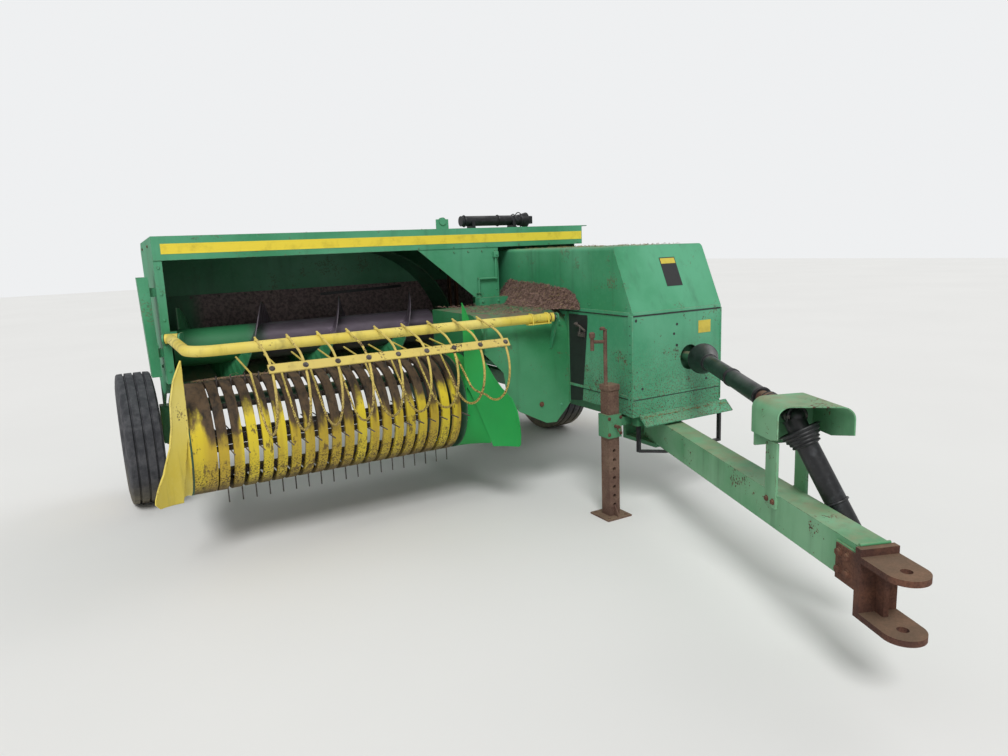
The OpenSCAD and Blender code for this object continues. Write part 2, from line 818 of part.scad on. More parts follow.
module windguard_brackets() {
    color(GREEN) placed() {
        difference() {
            on_guard() {
                for (x = [-guard_r - 11, guard_r + 14])
                    along_x(x, x + 8) {
                        circle(r = guard_r);
                        translate([0, -guard_r]) square([70, 2 * guard_r]);
                    }
                bar_x(-guard_r - 11, guard_r + 22, 0, 0, guard_pin_r);
            }
            block([-60, -3, guard_z - 40], [120, 120, guard_z + 40]);
        }
        block([0, -6, guard_z - guard_r - 6], [post_w + 28, 0, guard_z + guard_r + 6]);
    }
    color(YELLOW) placed() {
        along_x(guard_x1 + 26, guard_x1 + 34) {
            translate([guard_front, guard_z]) circle(r = guard_r);
            polygon([
                [guard_front - guard_r, guard_z], [-drive_reach - 6, 770], [-drive_reach, 770],
                [-drive_reach, 800], [guard_front + guard_r, guard_z]
            ]);
        }
        intersection() {
            translate([guard_x1, guard_front, guard_z]) rotate([0, 0, guard_turn])
                bar_x(-guard_r - 6, 60, 0, 0, guard_pin_r);
            block([guard_x1 - 60, guard_front - 60, guard_z - 30], [guard_x1 + 30, guard_front + 60, guard_z + 30]);
        }
    }
}

module control_rod() {
    color(GREEN) placed() {
        block([case_x - 110, -18, 1230], [case_x - 86, 0, 1254]);
        rod([case_x - 98, -12, 1250], [case_x - 98, -12, 1104], 6);
        rod([case_x - 92, -12, 1110], [case_x - 216, -12, 1110], 6);
        rod([case_x - 210, -12, 1116], [case_x - 210, -12, 1000], 6);
        translate([case_x - 210, -12, drive_top + 45]) cylinder(h = 14, r = 13, $fn = 6);
        difference() {
            block([case_x - 233, -50, drive_top], [box_x0, 0, drive_top + 45]);
            block([case_x - 229, -46, drive_top - 1], [box_x0 - 4, 1, drive_top + 41]);
        }
    }
}

// Spare half of a drive shaft that lies on two cradles on the roof
module spare_shaft() {
    y = 300;
    z = housing_top + 48;
    color(BLACK) placed() {
        bar_x(case_x - 150, case_x + 240, y, z, 30);
        translate([case_x + 240, y, z]) rotate([0, 90, 0]) cylinder(h = 62, r1 = 30, r2 = 46);
        for (x = [case_x - 90, case_x + 190])
            along_x(x, x + 20) difference() {
                polygon([
                    [y - 40, housing_top - back_drop * (y - 40) / (housing_depth - 40)],
                    [y + 40, housing_top - back_drop * (y + 40) / (housing_depth - 40)],
                    [y + 34, z], [y - 34, z]
                ]);
                translate([y, z]) circle(r = 29);
            }
    }
}

// Ribbed tyre turned about X, outer radius r, width w
module tyre(r, w) {
    rotate([0, 90, 0]) rotate_extrude() polygon([
        [rim_r, -w * 0.36], [rim_r + 30, -w * 0.47], [r - 55, -w * 0.5], [r - 14, -w * 0.44],
        [r - 2, -w * 0.4], [r, -w * 0.25], [r - 9, -w * 0.24], [r - 9, -w * 0.2], [r, -w * 0.19],
        [r, -w * 0.03], [r - 9, -w * 0.02], [r - 9, w * 0.02], [r, w * 0.03], [r, w * 0.19],
        [r - 9, w * 0.2], [r - 9, w * 0.24], [r, w * 0.25], [r - 2, w * 0.4], [r - 14, w * 0.44],
        [r - 55, w * 0.5], [rim_r + 30, w * 0.47], [rim_r, w * 0.36]
    ]);
}

// Pressed rim turned about X, with its hub and flanges that hold the tyre
module rim(w) {
    bore = axle_r + fit_gap;
    rotate([0, 90, 0]) rotate_extrude() polygon([
        [bore, -34], [bore + 26, -34], [bore + 26, -8], [120, -8], [146, -26], [rim_r - 26, -w * 0.2],
        [rim_r - 14, -w * 0.34], [rim_r, -w * 0.36], [rim_r, w * 0.36], [rim_r - 14, w * 0.34],
        [rim_r - 26, w * 0.2], [rim_r - 30, 0], [150, -14], [120, 4], [bore + 34, 4], [bore + 30, 40],
        [bore, 40]
    ]);
}

module tyre_right() {
    color(BLACK) placed() translate([-tyre_gap - tyre_w / 2, wheel_y, tyre_r]) tyre(tyre_r, tyre_w);
}

module rim_right() {
    color(YELLOW) placed() translate([-tyre_gap - tyre_w / 2, wheel_y, tyre_r])
        mirror([1, 0, 0]) rim(tyre_w);
}

module tyre_left() {
    color(BLACK) placed() translate([case_x1 + 12 + case_tyre_w / 2, wheel_y, case_tyre_r])
        tyre(case_tyre_r, case_tyre_w);
}

module rim_left() {
    color(YELLOW) placed() translate([case_x1 + 12 + case_tyre_w / 2, wheel_y, case_tyre_r]) rim(case_tyre_w);
}

// Helix of the flight, in steps round the drum
flight_steps = 24;
flight_turns = 3;
flight_inner = (drum_r + 0.3) / cos(180 / flight_steps);
function flight_point(i, r, dx) = [
    i * flight_pitch / flight_steps + dx, r * sin(i * 360 / flight_steps), r * cos(i * 360 / flight_steps)
];

module flight_helix() {
    n = flight_turns * flight_steps;
    points = [for (i = [0:n]) each [
        flight_point(i, flight_inner, -flight_t / 2), flight_point(i, auger_r, -flight_t / 2),
        flight_point(i, auger_r, flight_t / 2), flight_point(i, flight_inner, flight_t / 2)
    ]];
    sides = [for (i = [0:n - 1]) for (k = [0:3]) each [
        [4 * i + k, 4 * i + (k + 1) % 4, 4 * i + 4 + (k + 1) % 4],
        [4 * i + k, 4 * i + 4 + (k + 1) % 4, 4 * i + 4 + k]
    ]];
    ends = [[0, 2, 1], [0, 3, 2], [4 * n, 4 * n + 1, 4 * n + 2], [4 * n, 4 * n + 2, 4 * n + 3]];
    polyhedron(points, concat(ends, sides));
}

module auger_drum() {
    color(GREEN) placed() {
        bar_x(60, 60 + auger_len, auger_y, auger_z, drum_r);
        bar_x(-6, 60, auger_y, auger_z, stub_r);
    }
}

module auger_flight() {
    color(GREEN) placed() translate([100, auger_y, auger_z]) flight_helix();
}

// Side outline of one stripper band, grown inwards by t
module band_outline(t) {
    translate([band_y, band_z]) circle(r = band_r - t, $fn = 32);
    polygon([
        [band_y, band_z + band_r - t], [band_back_y, band_back_z - t], [band_back_y, band_back_z - 60],
        [band_low_y, band_z - band_r + t], [band_y, band_z - band_r + t]
    ]);
}

// Bent strip of a stripper band, t thick, open towards the feeder
module band_strip(t) {
    difference() {
        band_outline(0);
        band_outline(t);
        translate([band_low_y - 1, 0]) square([900, band_back_z - 61]);
        translate([band_back_y - 1, 0]) square([900, 900]);
        translate([band_y + 20, band_z - band_r + 30]) square([400, 330]);
    }
}

module pickup_bands() {
    color(YELLOW) placed() {
        for (i = [0:band_count - 1]) {
            x0 = band_x0 + i * band_pitch - band_w / 2;
            along_x(x0, x0 + band_w) band_strip(band_t);
            for (x = [x0, x0 + band_w - band_t])
                along_x(x, x + band_t) band_strip(band_leg);
        }
        along_x(plate_x0, plate_x1) band_strip(band_t);
        along_x(plate_x1 - band_t, plate_x1) band_strip(band_leg);
        block([plate_x0, band_low_y - 40, band_z - band_r + band_t],
            [pickup_x1, band_low_y - 4, band_z - band_r + 24]);
        block([plate_x0, band_back_y - 50, band_back_z - 24], [pickup_x1, band_back_y - 14, band_back_z - 4]);
    }
}

module pickup_frame() {
    color(DARK_GREEN) placed() {
        for (x = [plate_x0 - side_t, pickup_x1])
            along_x(x, x + side_t) difference() {
                union() {
                    translate([band_y, band_z]) circle(r = band_r);
                    polygon([
                        [band_y, band_z - band_r], [band_low_y, band_z - band_r],
                        [pickup_pivot_y + 30, pickup_pivot_z - 40], [pickup_pivot_y + 30, pickup_pivot_z + 20],
                        [band_back_y - 40, band_back_z - 22], [band_back_y - 40, band_back_z - 4],
                        [band_y, band_z + band_r - 4]
                    ]);
                }
                translate([reel_y, reel_z]) circle(r = reel_shaft_r + fit_gap);
            }
        bar_x(plate_x0 - side_t, pickup_x1 + side_t, pickup_pivot_y, pickup_pivot_z, lift_r);
    }
}

// Bent side sheet: a curved wall from one plan point to another, cut to an outline in length and height
module flare(from, to, curve, side, outline) {
    d = to - from;
    span = norm(d);
    drop = sqrt(curve * curve - span * span / 4);
    translate([from[0], from[1], 0]) rotate([0, 0, atan2(d[1], d[0])]) intersection() {
        translate([span / 2, side * drop, 0]) difference() {
            cylinder(h = 1200, r = curve);
            translate([0, 0, -1]) cylinder(h = 1202, r = curve - sheet_t);
        }
        along_y(-100, 100) polygon(outline);
    }
}

module side_sheet_right() {
    x = plate_x0 - side_t - sheet_t;
    color(YELLOW) placed() {
        flare([x + sheet_t, -538], [-150, -708], 330, 1, [
            [0, 893], [40, 820], [66, 735], [74, 640], [96, 560], [150, 470], [236, 400], [242, 383],
            [200, 352], [60, 326], [0, 620]
        ]);
        block([x, -545, 540], [x + sheet_t, -440, 700]);
    }
}

module side_sheet_left() {
    x = pickup_x1 + side_t;
    color(NEW_GREEN) placed() {
        flare([x, -540], [x + 179, -752], 330, -1, [
            [0, 1030], [14, 990], [92, 744], [140, 660], [176, 615], [228, 568], [256, 511], [272, 440],
            [276, 400], [272, 350], [262, 338], [120, 326], [20, 600], [0, 640]
        ]);
        block([x, -545, 540], [x + sheet_t, -440, 700]);
    }
}

module pickup_reel() {
    color(STEEL) placed() {
        bar_x(plate_x0 - side_t - 3, pickup_x1 + side_t + 3, reel_y, reel_z, reel_shaft_r);
        for (a = [0:90:270])
            translate([0, reel_y, reel_z]) rotate([a, 0, 0]) {
                bar_x(band_x0 - 30, band_x1 + 40, 150, 0, 12);
                for (x = [band_x0 - 30, band_x1 + 32])
                    block([x, -6, -10], [x + 8, 150, 10]);
                for (i = [1:band_count])
                    translate([band_x0 + (i - 0.5) * band_pitch, 150, 0]) rotate([-90, 0, 0])
                        cylinder(h = tine_tip_r - 150, d = tine_d, $fn = 6);
            }
    }
}

// Bent pipe on a sleeve at each end; its rods hang from it
module windguard_pipe() {
    color(YELLOW) placed() {
        difference() {
            union() {
                on_guard() bar_x(-guard_r, guard_r + 12, 0, 0, guard_r);
                bar_y(guard_front + guard_bend, guard_y0, guard_x0, guard_z, guard_r);
                translate([guard_x0 + guard_bend, guard_front + guard_bend, guard_z])
                    rotate([0, 0, 180]) rotate_extrude(angle = 90) translate([guard_bend, 0]) circle(r = guard_r);
                bar_x(guard_x0 + guard_bend, guard_x1, guard_front, guard_z, guard_r);
                translate([guard_x1, guard_front, guard_z]) rotate([0, 0, guard_turn])
                    bar_x(-guard_r, 12, 0, 0, guard_r);
            }
            on_guard() bar_x(-guard_r - 1, guard_r + 13, 0, 0, guard_pin_r + fit_gap);
            translate([guard_x1, guard_front, guard_z]) rotate([0, 0, guard_turn])
                bar_x(-guard_r - 12, 40, 0, 0, guard_pin_r + fit_gap);
        }
    }
}

// Point where a rod's tail turns back over the bands
function guard_low(x) = [x, guard_curve_y + guard_curve * cos(313), guard_curve_z + guard_curve * sin(313)];
function guard_turn_point(x) = guard_low(x) + [0, sin(47), cos(47)] * guard_tail;

// One rod: it lies on the pipe, runs forward, round below and up again
module guard_rod(x, tail, sweep = 209) {
    thin = guard_rod_r - 0.4;
    start = [x, guard_curve_y + guard_curve * cos(104), guard_curve_z + guard_curve * sin(104)];
    low = guard_low(x);
    rod(start - [0, sin(104), -cos(104)] * 4, start + [0, sin(104), -cos(104)] * 172, thin, $fn = 8);
    translate([x, guard_curve_y, guard_curve_z]) rotate([90, 0, 90]) rotate([0, 0, 104])
        rotate_extrude(angle = sweep) translate([guard_curve, 0]) circle(r = guard_rod_r, $fn = 8);
    if (tail > 0)
        rod(low - [0, sin(47), cos(47)] * 4, low + [0, sin(47), cos(47)] * tail, thin, $fn = 8);
}

module windguard_rods() {
    color(YELLOW) placed() {
        for (i = [0:7])
            guard_rod(guard_rod_x0 + i * guard_pitch, guard_tail);
        guard_rod(guard_rod_x0 + 8 * guard_pitch, 0, 186);
    }
}

// Straight ends of the rods, over the bands
module windguard_tips() {
    color(YELLOW) placed() for (i = [0:7]) {
        turn = guard_turn_point(guard_rod_x0 + i * guard_pitch);
        back = [0, cos(6), sin(6)];
        rod(turn + back * 3.4, turn + back * (guard_tip - i * 6), guard_rod_r - 0.7, $fn = 8);
    }
}

// Flat bar across the front of the rods
module windguard_bar() {
    color(YELLOW) placed() translate([0, guard_curve_y, guard_curve_z]) rotate([141 - 180, 0, 0])
        block([guard_rod_x0 - 14, -guard_curve - guard_rod_r - 6.1, -19],
            [guard_rod_x0 + 8 * guard_pitch + 18, -guard_curve - guard_rod_r - 0.1, 19]);
}

// Places its children on the parked tongue, whose pivot is at 0 and which points along -Y
module on_tongue() {
    translate([pivot_x, pivot_y, 0]) rotate([0, 0, -tongue_angle]) children();
}

module tongue_beam() {
    color(GREEN) placed() on_tongue() difference() {
        block([-tongue_w / 2, -tongue_len, tongue_z], [tongue_w / 2, 55, tongue_top]);
        block([-tongue_w / 2 + 8, -tongue_len - 1, tongue_z + 8], [tongue_w / 2 - 8, -60, tongue_top - 8]);
        translate([0, 0, tongue_z - 1]) cylinder(h = tongue_h + 2, r = pivot_r + fit_gap);
    }
}

// Outline of a clevis plate seen from above, square behind and round at the pin
module clevis_plate(z) {
    translate([0, 0, z]) linear_extrude(clevis_t) difference() {
        union() {
            translate([0, -hitch_reach]) circle(r = 60);
            translate([-60, -hitch_reach]) square([120, hitch_reach - tongue_len]);
        }
        translate([0, -hitch_reach]) circle(d = hitch_bore);
    }
}

module hitch_clevis() {
    color(RUST) placed() on_tongue() {
        clevis_plate(clevis_top - clevis_t);
        clevis_plate(clevis_bottom);
        block([-60, -tongue_len - 24, clevis_bottom], [60, -tongue_len, tongue_top]);
        block([-8, -tongue_len - 60, clevis_bottom], [8, -tongue_len, clevis_top]);
        for (x = [-tongue_w / 2 - 10, tongue_w / 2])
            block([x, -tongue_len - 24, tongue_z - 6], [x + 10, -tongue_len + 90, clevis_top]);
    }
}

// Two legs welded to the sides of the beam and a plate with the shaft's bearing
module shaft_stand() {
    color(GREEN) placed() on_tongue() {
        for (x = [-tongue_w / 2 - 10, tongue_w / 2])
            block([x, -stand_r - 110, tongue_top - 50], [x + 10, -stand_r - 40, joint_z - 100]);
        difference() {
            union() {
                along_y(-stand_r - 50, -stand_r - 40)
                    rounded_top(-106, 106, joint_z - 115, joint_z + 48, 38);
                bar_y(-stand_r - 66, -stand_r - 26, 0, joint_z, 44);
            }
            bar_y(-stand_r - 67, -stand_r - 25, 0, joint_z, 20 + fit_gap);
        }
    }
}

// Hood over the shaft's joint, longer on the side away from the jack
module joint_hood() {
    color(GREEN) placed() on_tongue() difference() {
        along_y(-stand_r - 280, -stand_r - 30) rounded_top(-110, 110, joint_z - 70, joint_z + 52, 40);
        along_y(-stand_r - 281, -stand_r - 29) rounded_top(-106, 106, joint_z - 71, joint_z + 48, 36);
        translate([-130, -stand_r - 190, joint_z - 90]) rotate([0, 0, -20]) block([-60, -200, 0], [400, 0, 200]);
        along_x(-120, 120) polygon([
            [-stand_r - 281, joint_z - 72], [-stand_r - 150, joint_z - 72], [-stand_r - 281, joint_z - 40]
        ]);
    }
}

// Front half of the drive shaft, hanging from its joint beside the tongue
module front_shaft() {
    low = [152, -stand_r - 310, 250];
    high = [-4, -stand_r - 110, joint_z - 14];
    d = (low - high) / norm(low - high);
    color(BLACK) placed() on_tongue() {
        bar_y(-stand_r - 100, -stand_r - 12, 0, joint_z, 20);
        bar_y(-stand_r - 120, -stand_r - 80, 0, joint_z, 34);
        translate([0, -stand_r - 118, joint_z - 4]) sphere(r = 30);
        rod(high, low, 36);
        translate(high + d * 44) rotate([0, acos(d[2]), atan2(d[1], d[0])])
            cylinder(h = 56, r1 = 66, r2 = 40);
    }
}

// Places its children on the driveline, whose rear joint is at 0 and which points along -Y
module on_driveline() {
    translate([bell_x, bell_y, shaft_z]) rotate([0, 0, -shaft_turn]) rotate([shaft_dip, 0, 0]) children();
}

module shaft_tube() {
    color(BLACK) placed() difference() {
        on_driveline() difference() {
            union() {
                bar_y(-780, -20, 0, 0, tube_r);
                sphere(r = ball_r);
                rotate([90, 0, 0]) translate([0, 0, 10]) cylinder(h = 90, r1 = ball_r - 3, r2 = tube_r);
                rotate([90, 0, 0]) translate([0, 0, -8]) difference() {
                    cylinder(h = 110, r1 = 72, r2 = tube_r + 4);
                    translate([0, 0, -1]) cylinder(h = 92, r1 = 68, r2 = tube_r + 4);
                }
            }
            bar_y(-781, -220, 0, 0, inner_r + fit_gap);
        }
        translate([bell_x, bell_y, shaft_z - 50]) cylinder(h = 100, r = 6);
    }
}

module shaft_inner() {
    color(BLACK) placed() on_driveline() {
        bar_y(-shaft_span + 25, -300, 0, 0, inner_r);
        bar_y(-shaft_span + 25, -shaft_span + 75, 0, 0, inner_r + 9);
    }
}

// Flywheel on its shaft, which ends at the driveline's joint
module flywheel() {
    color(DARK_GREEN) placed() {
        bar_y(-1040, -985, flywheel_x, shaft_z, flywheel_r);
        bar_y(-985, -925, flywheel_x, shaft_z, 55);
        bar_y(-925, -845, flywheel_x, shaft_z, gear_shaft_r);
        bar_y(bell_y + ball_r + slide_gap, -1040, flywheel_x, shaft_z, gear_shaft_r);
    }
}

// Plunger on runners that slide on the walls of the chamber
module plunger() {
    color(STEEL) placed() {
        block([chamber_x0 + 8, -330, chamber_z + 8], [chamber_x1 - 8, 40, chamber_top - 8]);
        for (y = [-310, -30])
            block([chamber_x0 + slide_gap, y, chamber_z + slide_gap], [chamber_x1 - slide_gap, y + 50,
                chamber_z + 40]);
    }
}

end_wall();
end_channel();
housing_back();
feeder_trough();
fascia();
stripe();
gusset_panel();
feeder_arch();
feeder_fingers();
bale_case();
tension_rails();
tension_screws();
bale_chute();
knotters();
needle_frame();
twine_box();
main_frame();
axle();
gearbox();
hood();
front_shield();
drive_shield();
jack_bracket();
guide_strap();
windguard_brackets();
control_rod();
spare_shaft();
pickup_hangers();
tyre_right();
rim_right();
tyre_left();
rim_left();
auger_drum();
auger_flight();
pickup_bands();
pickup_frame();
side_sheet_right();
side_sheet_left();
pickup_reel();
windguard_pipe();
windguard_rods();
windguard_tips();
windguard_bar();
tongue_beam();
hitch_clevis();
shaft_stand();
joint_hood();
front_shaft();
shaft_tube();
shaft_inner();
flywheel();
jack_leg();
plunger();
twine_lid();
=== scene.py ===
import math
import random

import bmesh
import bpy
from mathutils import Matrix, Vector


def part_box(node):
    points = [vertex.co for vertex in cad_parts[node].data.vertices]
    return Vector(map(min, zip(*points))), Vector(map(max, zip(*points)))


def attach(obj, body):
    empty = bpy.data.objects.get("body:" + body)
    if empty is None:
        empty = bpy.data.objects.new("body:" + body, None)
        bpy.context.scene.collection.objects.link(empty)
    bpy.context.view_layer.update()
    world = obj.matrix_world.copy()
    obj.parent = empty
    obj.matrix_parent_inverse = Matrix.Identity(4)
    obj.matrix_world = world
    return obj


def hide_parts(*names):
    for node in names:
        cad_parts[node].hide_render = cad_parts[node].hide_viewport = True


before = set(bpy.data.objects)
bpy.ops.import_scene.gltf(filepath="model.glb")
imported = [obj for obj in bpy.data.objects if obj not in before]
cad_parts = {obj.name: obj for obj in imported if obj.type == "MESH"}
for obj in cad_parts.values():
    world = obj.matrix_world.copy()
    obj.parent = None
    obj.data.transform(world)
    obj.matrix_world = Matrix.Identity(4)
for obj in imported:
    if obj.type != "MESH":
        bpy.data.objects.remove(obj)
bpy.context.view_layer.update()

rng = random.Random(11)

# The drawing's zero planes are the end wall's outer face, the fascia's front face and the ground.
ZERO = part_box("end_wall")[0]

# The machine drives towards -y, so its left side is at +x.
FORWARD, BACKWARD = (0, -1, 0), (0, 1, 0)
LEFT, RIGHT = (1, 0, 0), (-1, 0, 0)
UP, DOWN = (0, 0, 1), (0, 0, -1)


def at(x, y, z):
    """A place given in the drawing's millimetres, in metres of the frame."""
    return Vector((ZERO[0] + x / 1000, ZERO[1] + y / 1000, z / 1000))


# ---------------------------------------------------------------- materials

X, Y, Z = range(3)


def linear(r, g, b):
    """Colour written as 0 to 255, as the shader's linear values."""
    out = []
    for c in (r, g, b):
        c /= 255
        out.append(c / 12.92 if c <= 0.04045 else ((c + 0.055) / 1.055) ** 2.4)
    return (*out, 1.0)


class Shade:
    """Builds one procedural material from a few kinds of node."""

    def __init__(self, name):
        self.mat = bpy.data.materials.new(name)
        self.mat.use_nodes = True
        self.tree = self.mat.node_tree
        self.shader = self.tree.nodes["Principled BSDF"]
        self.place = self.node("TexCoord").outputs["Object"]
        self.normal = self.node("NewGeometry").outputs["Normal"]

    def feed(self, socket, value):
        """Links a socket to another one, or sets its own value."""
        if isinstance(value, bpy.types.NodeSocket):
            self.tree.links.new(value, socket)
        else:
            socket.default_value = value

    def node(self, kind, inputs=(), **settings):
        made = self.tree.nodes.new("ShaderNode" + kind)
        for key, value in settings.items():
            setattr(made, key, value)
        for key, value in dict(inputs).items():
            self.feed(made.inputs[key], value)
        return made

    def noise(self, scale, detail=5.0, rough=0.55, stretch=(1, 1, 1), shift=0.0):
        moved = self.node("Mapping", {"Vector": self.place, "Scale": stretch,
                                      "Location": (shift, shift, 0)})
        made = self.node("TexNoise", {"Vector": moved.outputs[0], "Scale": scale,
                                      "Detail": detail, "Roughness": rough})
        return made.outputs["Fac"]

    def axis(self, which):
        """Where on the piece, along one axis, in metres."""
        return self.node("SeparateXYZ", {0: self.place}).outputs[which]

    def facing(self, which):
        """How far the surface faces along one axis, -1 to 1."""
        return self.node("SeparateXYZ", {0: self.normal}).outputs[which]

    def span(self, value, low, high):
        """0 below low, 1 above high, or the other way round where low is above high."""
        made = self.node("MapRange", {"Value": value, "From Min": low, "From Max": high},
                         interpolation_type="SMOOTHSTEP")
        return made.outputs[0]

    def ramp(self, value, low, high):
        """low where value is 0, high where it is 1."""
        made = self.node("MapRange", {"Value": value, "To Min": low, "To Max": high})
        return made.outputs[0]

    def math(self, kind, a, b):
        return self.node("Math", {0: a, 1: b}, operation=kind, use_clamp=True).outputs[0]

    def plus(self, a, b):
        return self.math("ADD", a, b)

    def both(self, a, b):
        return self.math("MULTIPLY", a, b)

    def either(self, a, b):
        return self.math("MAXIMUM", a, b)

    def mix(self, factor, a, b):
        """a where factor is 0, b where it is 1; sockets 6, 7 and 2 are the ones for colours."""
        return self.node("Mix", {0: factor, 6: a, 7: b}, data_type="RGBA").outputs[2]

    def edge(self, size=0.004):
        """1 on outer edges, 0 on flat faces."""
        soft = self.node("Bevel", {"Radius": size}, samples=4).outputs[0]
        same = self.node("VectorMath", {0: soft, 1: self.normal}, operation="DOT_PRODUCT")
        return self.span(same.outputs["Value"], 0.985, 0.86)

    def finish(self, color, rough, metal=0.0, bump=None, depth=None):
        """The material with its shader fed; depth is the bump's reach in metres."""
        for key, value in (("Base Color", color), ("Roughness", rough), ("Metallic", metal)):
            self.feed(self.shader.inputs[key], value)
        if bump is not None:
            made = self.node("Bump", {"Height": bump, "Strength": 0.5, "Distance": depth})
            self.feed(self.shader.inputs["Normal"], made.outputs[0])
        return self.mat


RUST_DARK = linear(66, 46, 38)
RUST = linear(108, 78, 60)
DUST = linear(150, 132, 104)
GRIME = linear(34, 34, 30)
# The next green is painted shade, for faces inside the housing that look forward.
SHADED_GREEN = linear(20, 56, 36)
RUBBED_DARK, RUBBED_LIGHT = linear(74, 58, 60), linear(116, 98, 98)
RUBBED_FROM = (-1.02, -0.93)  # x over which the rubbed area sets in, inside the end wall


def weathered(name, base, faded, rust=0.5, low_rust=0.0, dust=0.4, grime=0.3, gloss=0.42,
              specks=0.5, worn_edge=0.7, low=(0.5, 0.9), settles=DUST, shade_and_rubbed=None):
    """Old paint: chalky patches, grime streaks, rust in spots and along edges, dust on top.

    low_rust adds rust that fades out between the heights low. The last argument is a height:
    faces that look forward get painted shade, and below about it the crop has bared their metal.
    """
    s = Shade(name)
    broad = s.noise(1.7, 4)
    patch = s.noise(7, 9, 0.68)
    fine = s.noise(60, 6, 0.6)
    color = s.mix(s.span(broad, 0.38, 0.68), base, faded)
    color = s.mix(s.both(s.span(fine, 0.45, 0.8), 0.25), color, faded)
    streak = s.both(s.span(s.noise(14, 6, 0.6, (1, 1, 0.09)), 0.5, 0.78), grime)
    color = s.mix(streak, color, GRIME)

    spots = s.span(s.both(s.noise(120, 3, 0.5, shift=3), s.span(patch, 0.3, 0.75)), 0.40, 0.47)
    rusty = s.span(patch, 0.80 - 0.22 * rust, 0.84 - 0.22 * rust)
    rusty = s.either(rusty, s.both(spots, specks))
    chipped = s.span(s.noise(26, 6, 0.7, shift=7), 0.62 - 0.25 * worn_edge, 0.75 - 0.2 * worn_edge)
    rusty = s.either(rusty, s.both(s.edge(), chipped))
    if low_rust:
        height = s.span(s.axis(Z), low[1], low[0])
        speckle = s.span(s.noise(170, 4, 0.75, (1, 1, 0.7)), 0.68 - 0.2 * low_rust,
                         0.74 - 0.2 * low_rust)
        rusty = s.either(rusty, s.both(speckle, height))
        runs = s.span(s.noise(24, 5, 0.6, (1, 1, 0.05), shift=5), 0.62, 0.74)
        rusty = s.either(rusty, s.both(s.both(runs, height), 0.7 * low_rust))
    color = s.mix(rusty, color, s.mix(s.span(fine, 0.35, 0.65), RUST_DARK, RUST))

    settled = s.both(s.span(s.facing(Z), 0.5, 0.95), s.span(s.noise(9, 8, 0.7, shift=1), 0.3, 0.7))
    settled = s.both(settled, dust)
    color = s.mix(settled, color, settles)
    if shade_and_rubbed:
        inner = s.span(s.facing(Y), -0.6, -0.9)
        height = s.plus(s.axis(Z), s.both(patch, 0.16))
        area = s.both(s.span(height, shade_and_rubbed + 0.1, shade_and_rubbed + 0.07), s.span(s.axis(X), *RUBBED_FROM))
        # painted shade: faces that look forward are darkened towards the shaded green
        color = s.mix(s.both(inner, 0.45), color, SHADED_GREEN)
        metal = s.mix(s.span(fine, 0.35, 0.65), RUBBED_DARK, RUBBED_LIGHT)
        color = s.mix(s.both(inner, area), color, metal)
    rough = s.ramp(s.either(s.either(rusty, settled), s.span(broad, 0.2, 0.9)), gloss, 0.88)
    bump = s.plus(s.both(rusty, 0.5), s.both(fine, 0.3))
    return s.finish(color, rough, bump=bump, depth=0.0012)


def rusted(name, dark, light, shine=0.0):
    """Bare iron in two tones, with dark grain and some dust on top."""
    s = Shade(name)
    patch = s.noise(9, 8, 0.65)
    grain = s.noise(130, 6, 0.7)
    color = s.mix(s.span(patch, 0.3, 0.7), dark, light)
    color = s.mix(s.both(s.span(grain, 0.4, 0.75), 0.6), color, linear(38, 28, 24))
    color = s.mix(s.both(s.span(s.facing(Z), 0.6, 1.0), 0.3), color, DUST)
    return s.finish(color, s.span(grain, -0.6, 0.7), metal=shine, bump=grain, depth=0.0015)


def rubber():
    """Scuffed tyre, dusty near the ground."""
    s = Shade("tyre_rubber")
    scuff = s.noise(20, 7, 0.7)
    color = s.mix(s.span(scuff, 0.35, 0.75), linear(50, 51, 56), linear(88, 88, 92))
    dusty = s.both(s.span(s.axis(Z), 0.22, 0.0), s.span(scuff, 0.2, 0.6))
    color = s.mix(dusty, color, linear(112, 104, 84))
    return s.finish(color, 0.82, bump=scuff, depth=0.0008)


def black_plastic():
    """Glossy black with dull scuffs, greyer on top."""
    s = Shade("black_plastic")
    scuff = s.noise(35, 6, 0.65)
    color = s.mix(s.span(scuff, 0.45, 0.8), linear(16, 17, 20), linear(52, 54, 58))
    greyed = s.both(s.span(s.facing(Z), 0.3, 1.0), s.span(s.noise(8), 0.35, 0.7))
    color = s.mix(greyed, color, linear(74, 74, 74))
    return s.finish(color, s.ramp(scuff, 0.22, 0.6), bump=scuff, depth=0.0004)


def band_paint():
    """Yellow strips, dark with grime on top, where hay runs over them, low down and in spots."""
    s = Shade("band_yellow")
    each = s.noise(17, 2, 0.4, (1, 0.05, 0.05))
    patch = s.noise(30, 8, 0.7, (1, 0.5, 0.5))
    yellow = s.mix(s.span(each, 0.4, 0.6), linear(214, 192, 40), linear(188, 160, 40))
    reach = s.plus(s.both(patch, 0.16), s.both(s.span(each, 0.35, 0.65), 0.12))
    top = s.span(s.plus(s.axis(Z), reach), 0.7, 0.78)
    bottom = s.both(s.span(s.plus(s.axis(Z), s.both(patch, 0.1)), 0.42, 0.36), 0.85)
    freckle = s.both(s.span(s.noise(140, 3, 0.6), 0.5, 0.58), s.span(s.axis(Z), 0.5, 0.36))
    spots = s.either(s.both(s.span(patch, 0.56, 0.62), 0.8), freckle)
    dirty = s.either(s.either(top, bottom), spots)
    dirt = s.mix(s.span(patch, 0.3, 0.6), linear(28, 25, 20), linear(84, 66, 46))
    color = s.mix(dirty, yellow, dirt)
    return s.finish(color, s.ramp(dirty, 0.4, 0.85), bump=patch, depth=0.0008)


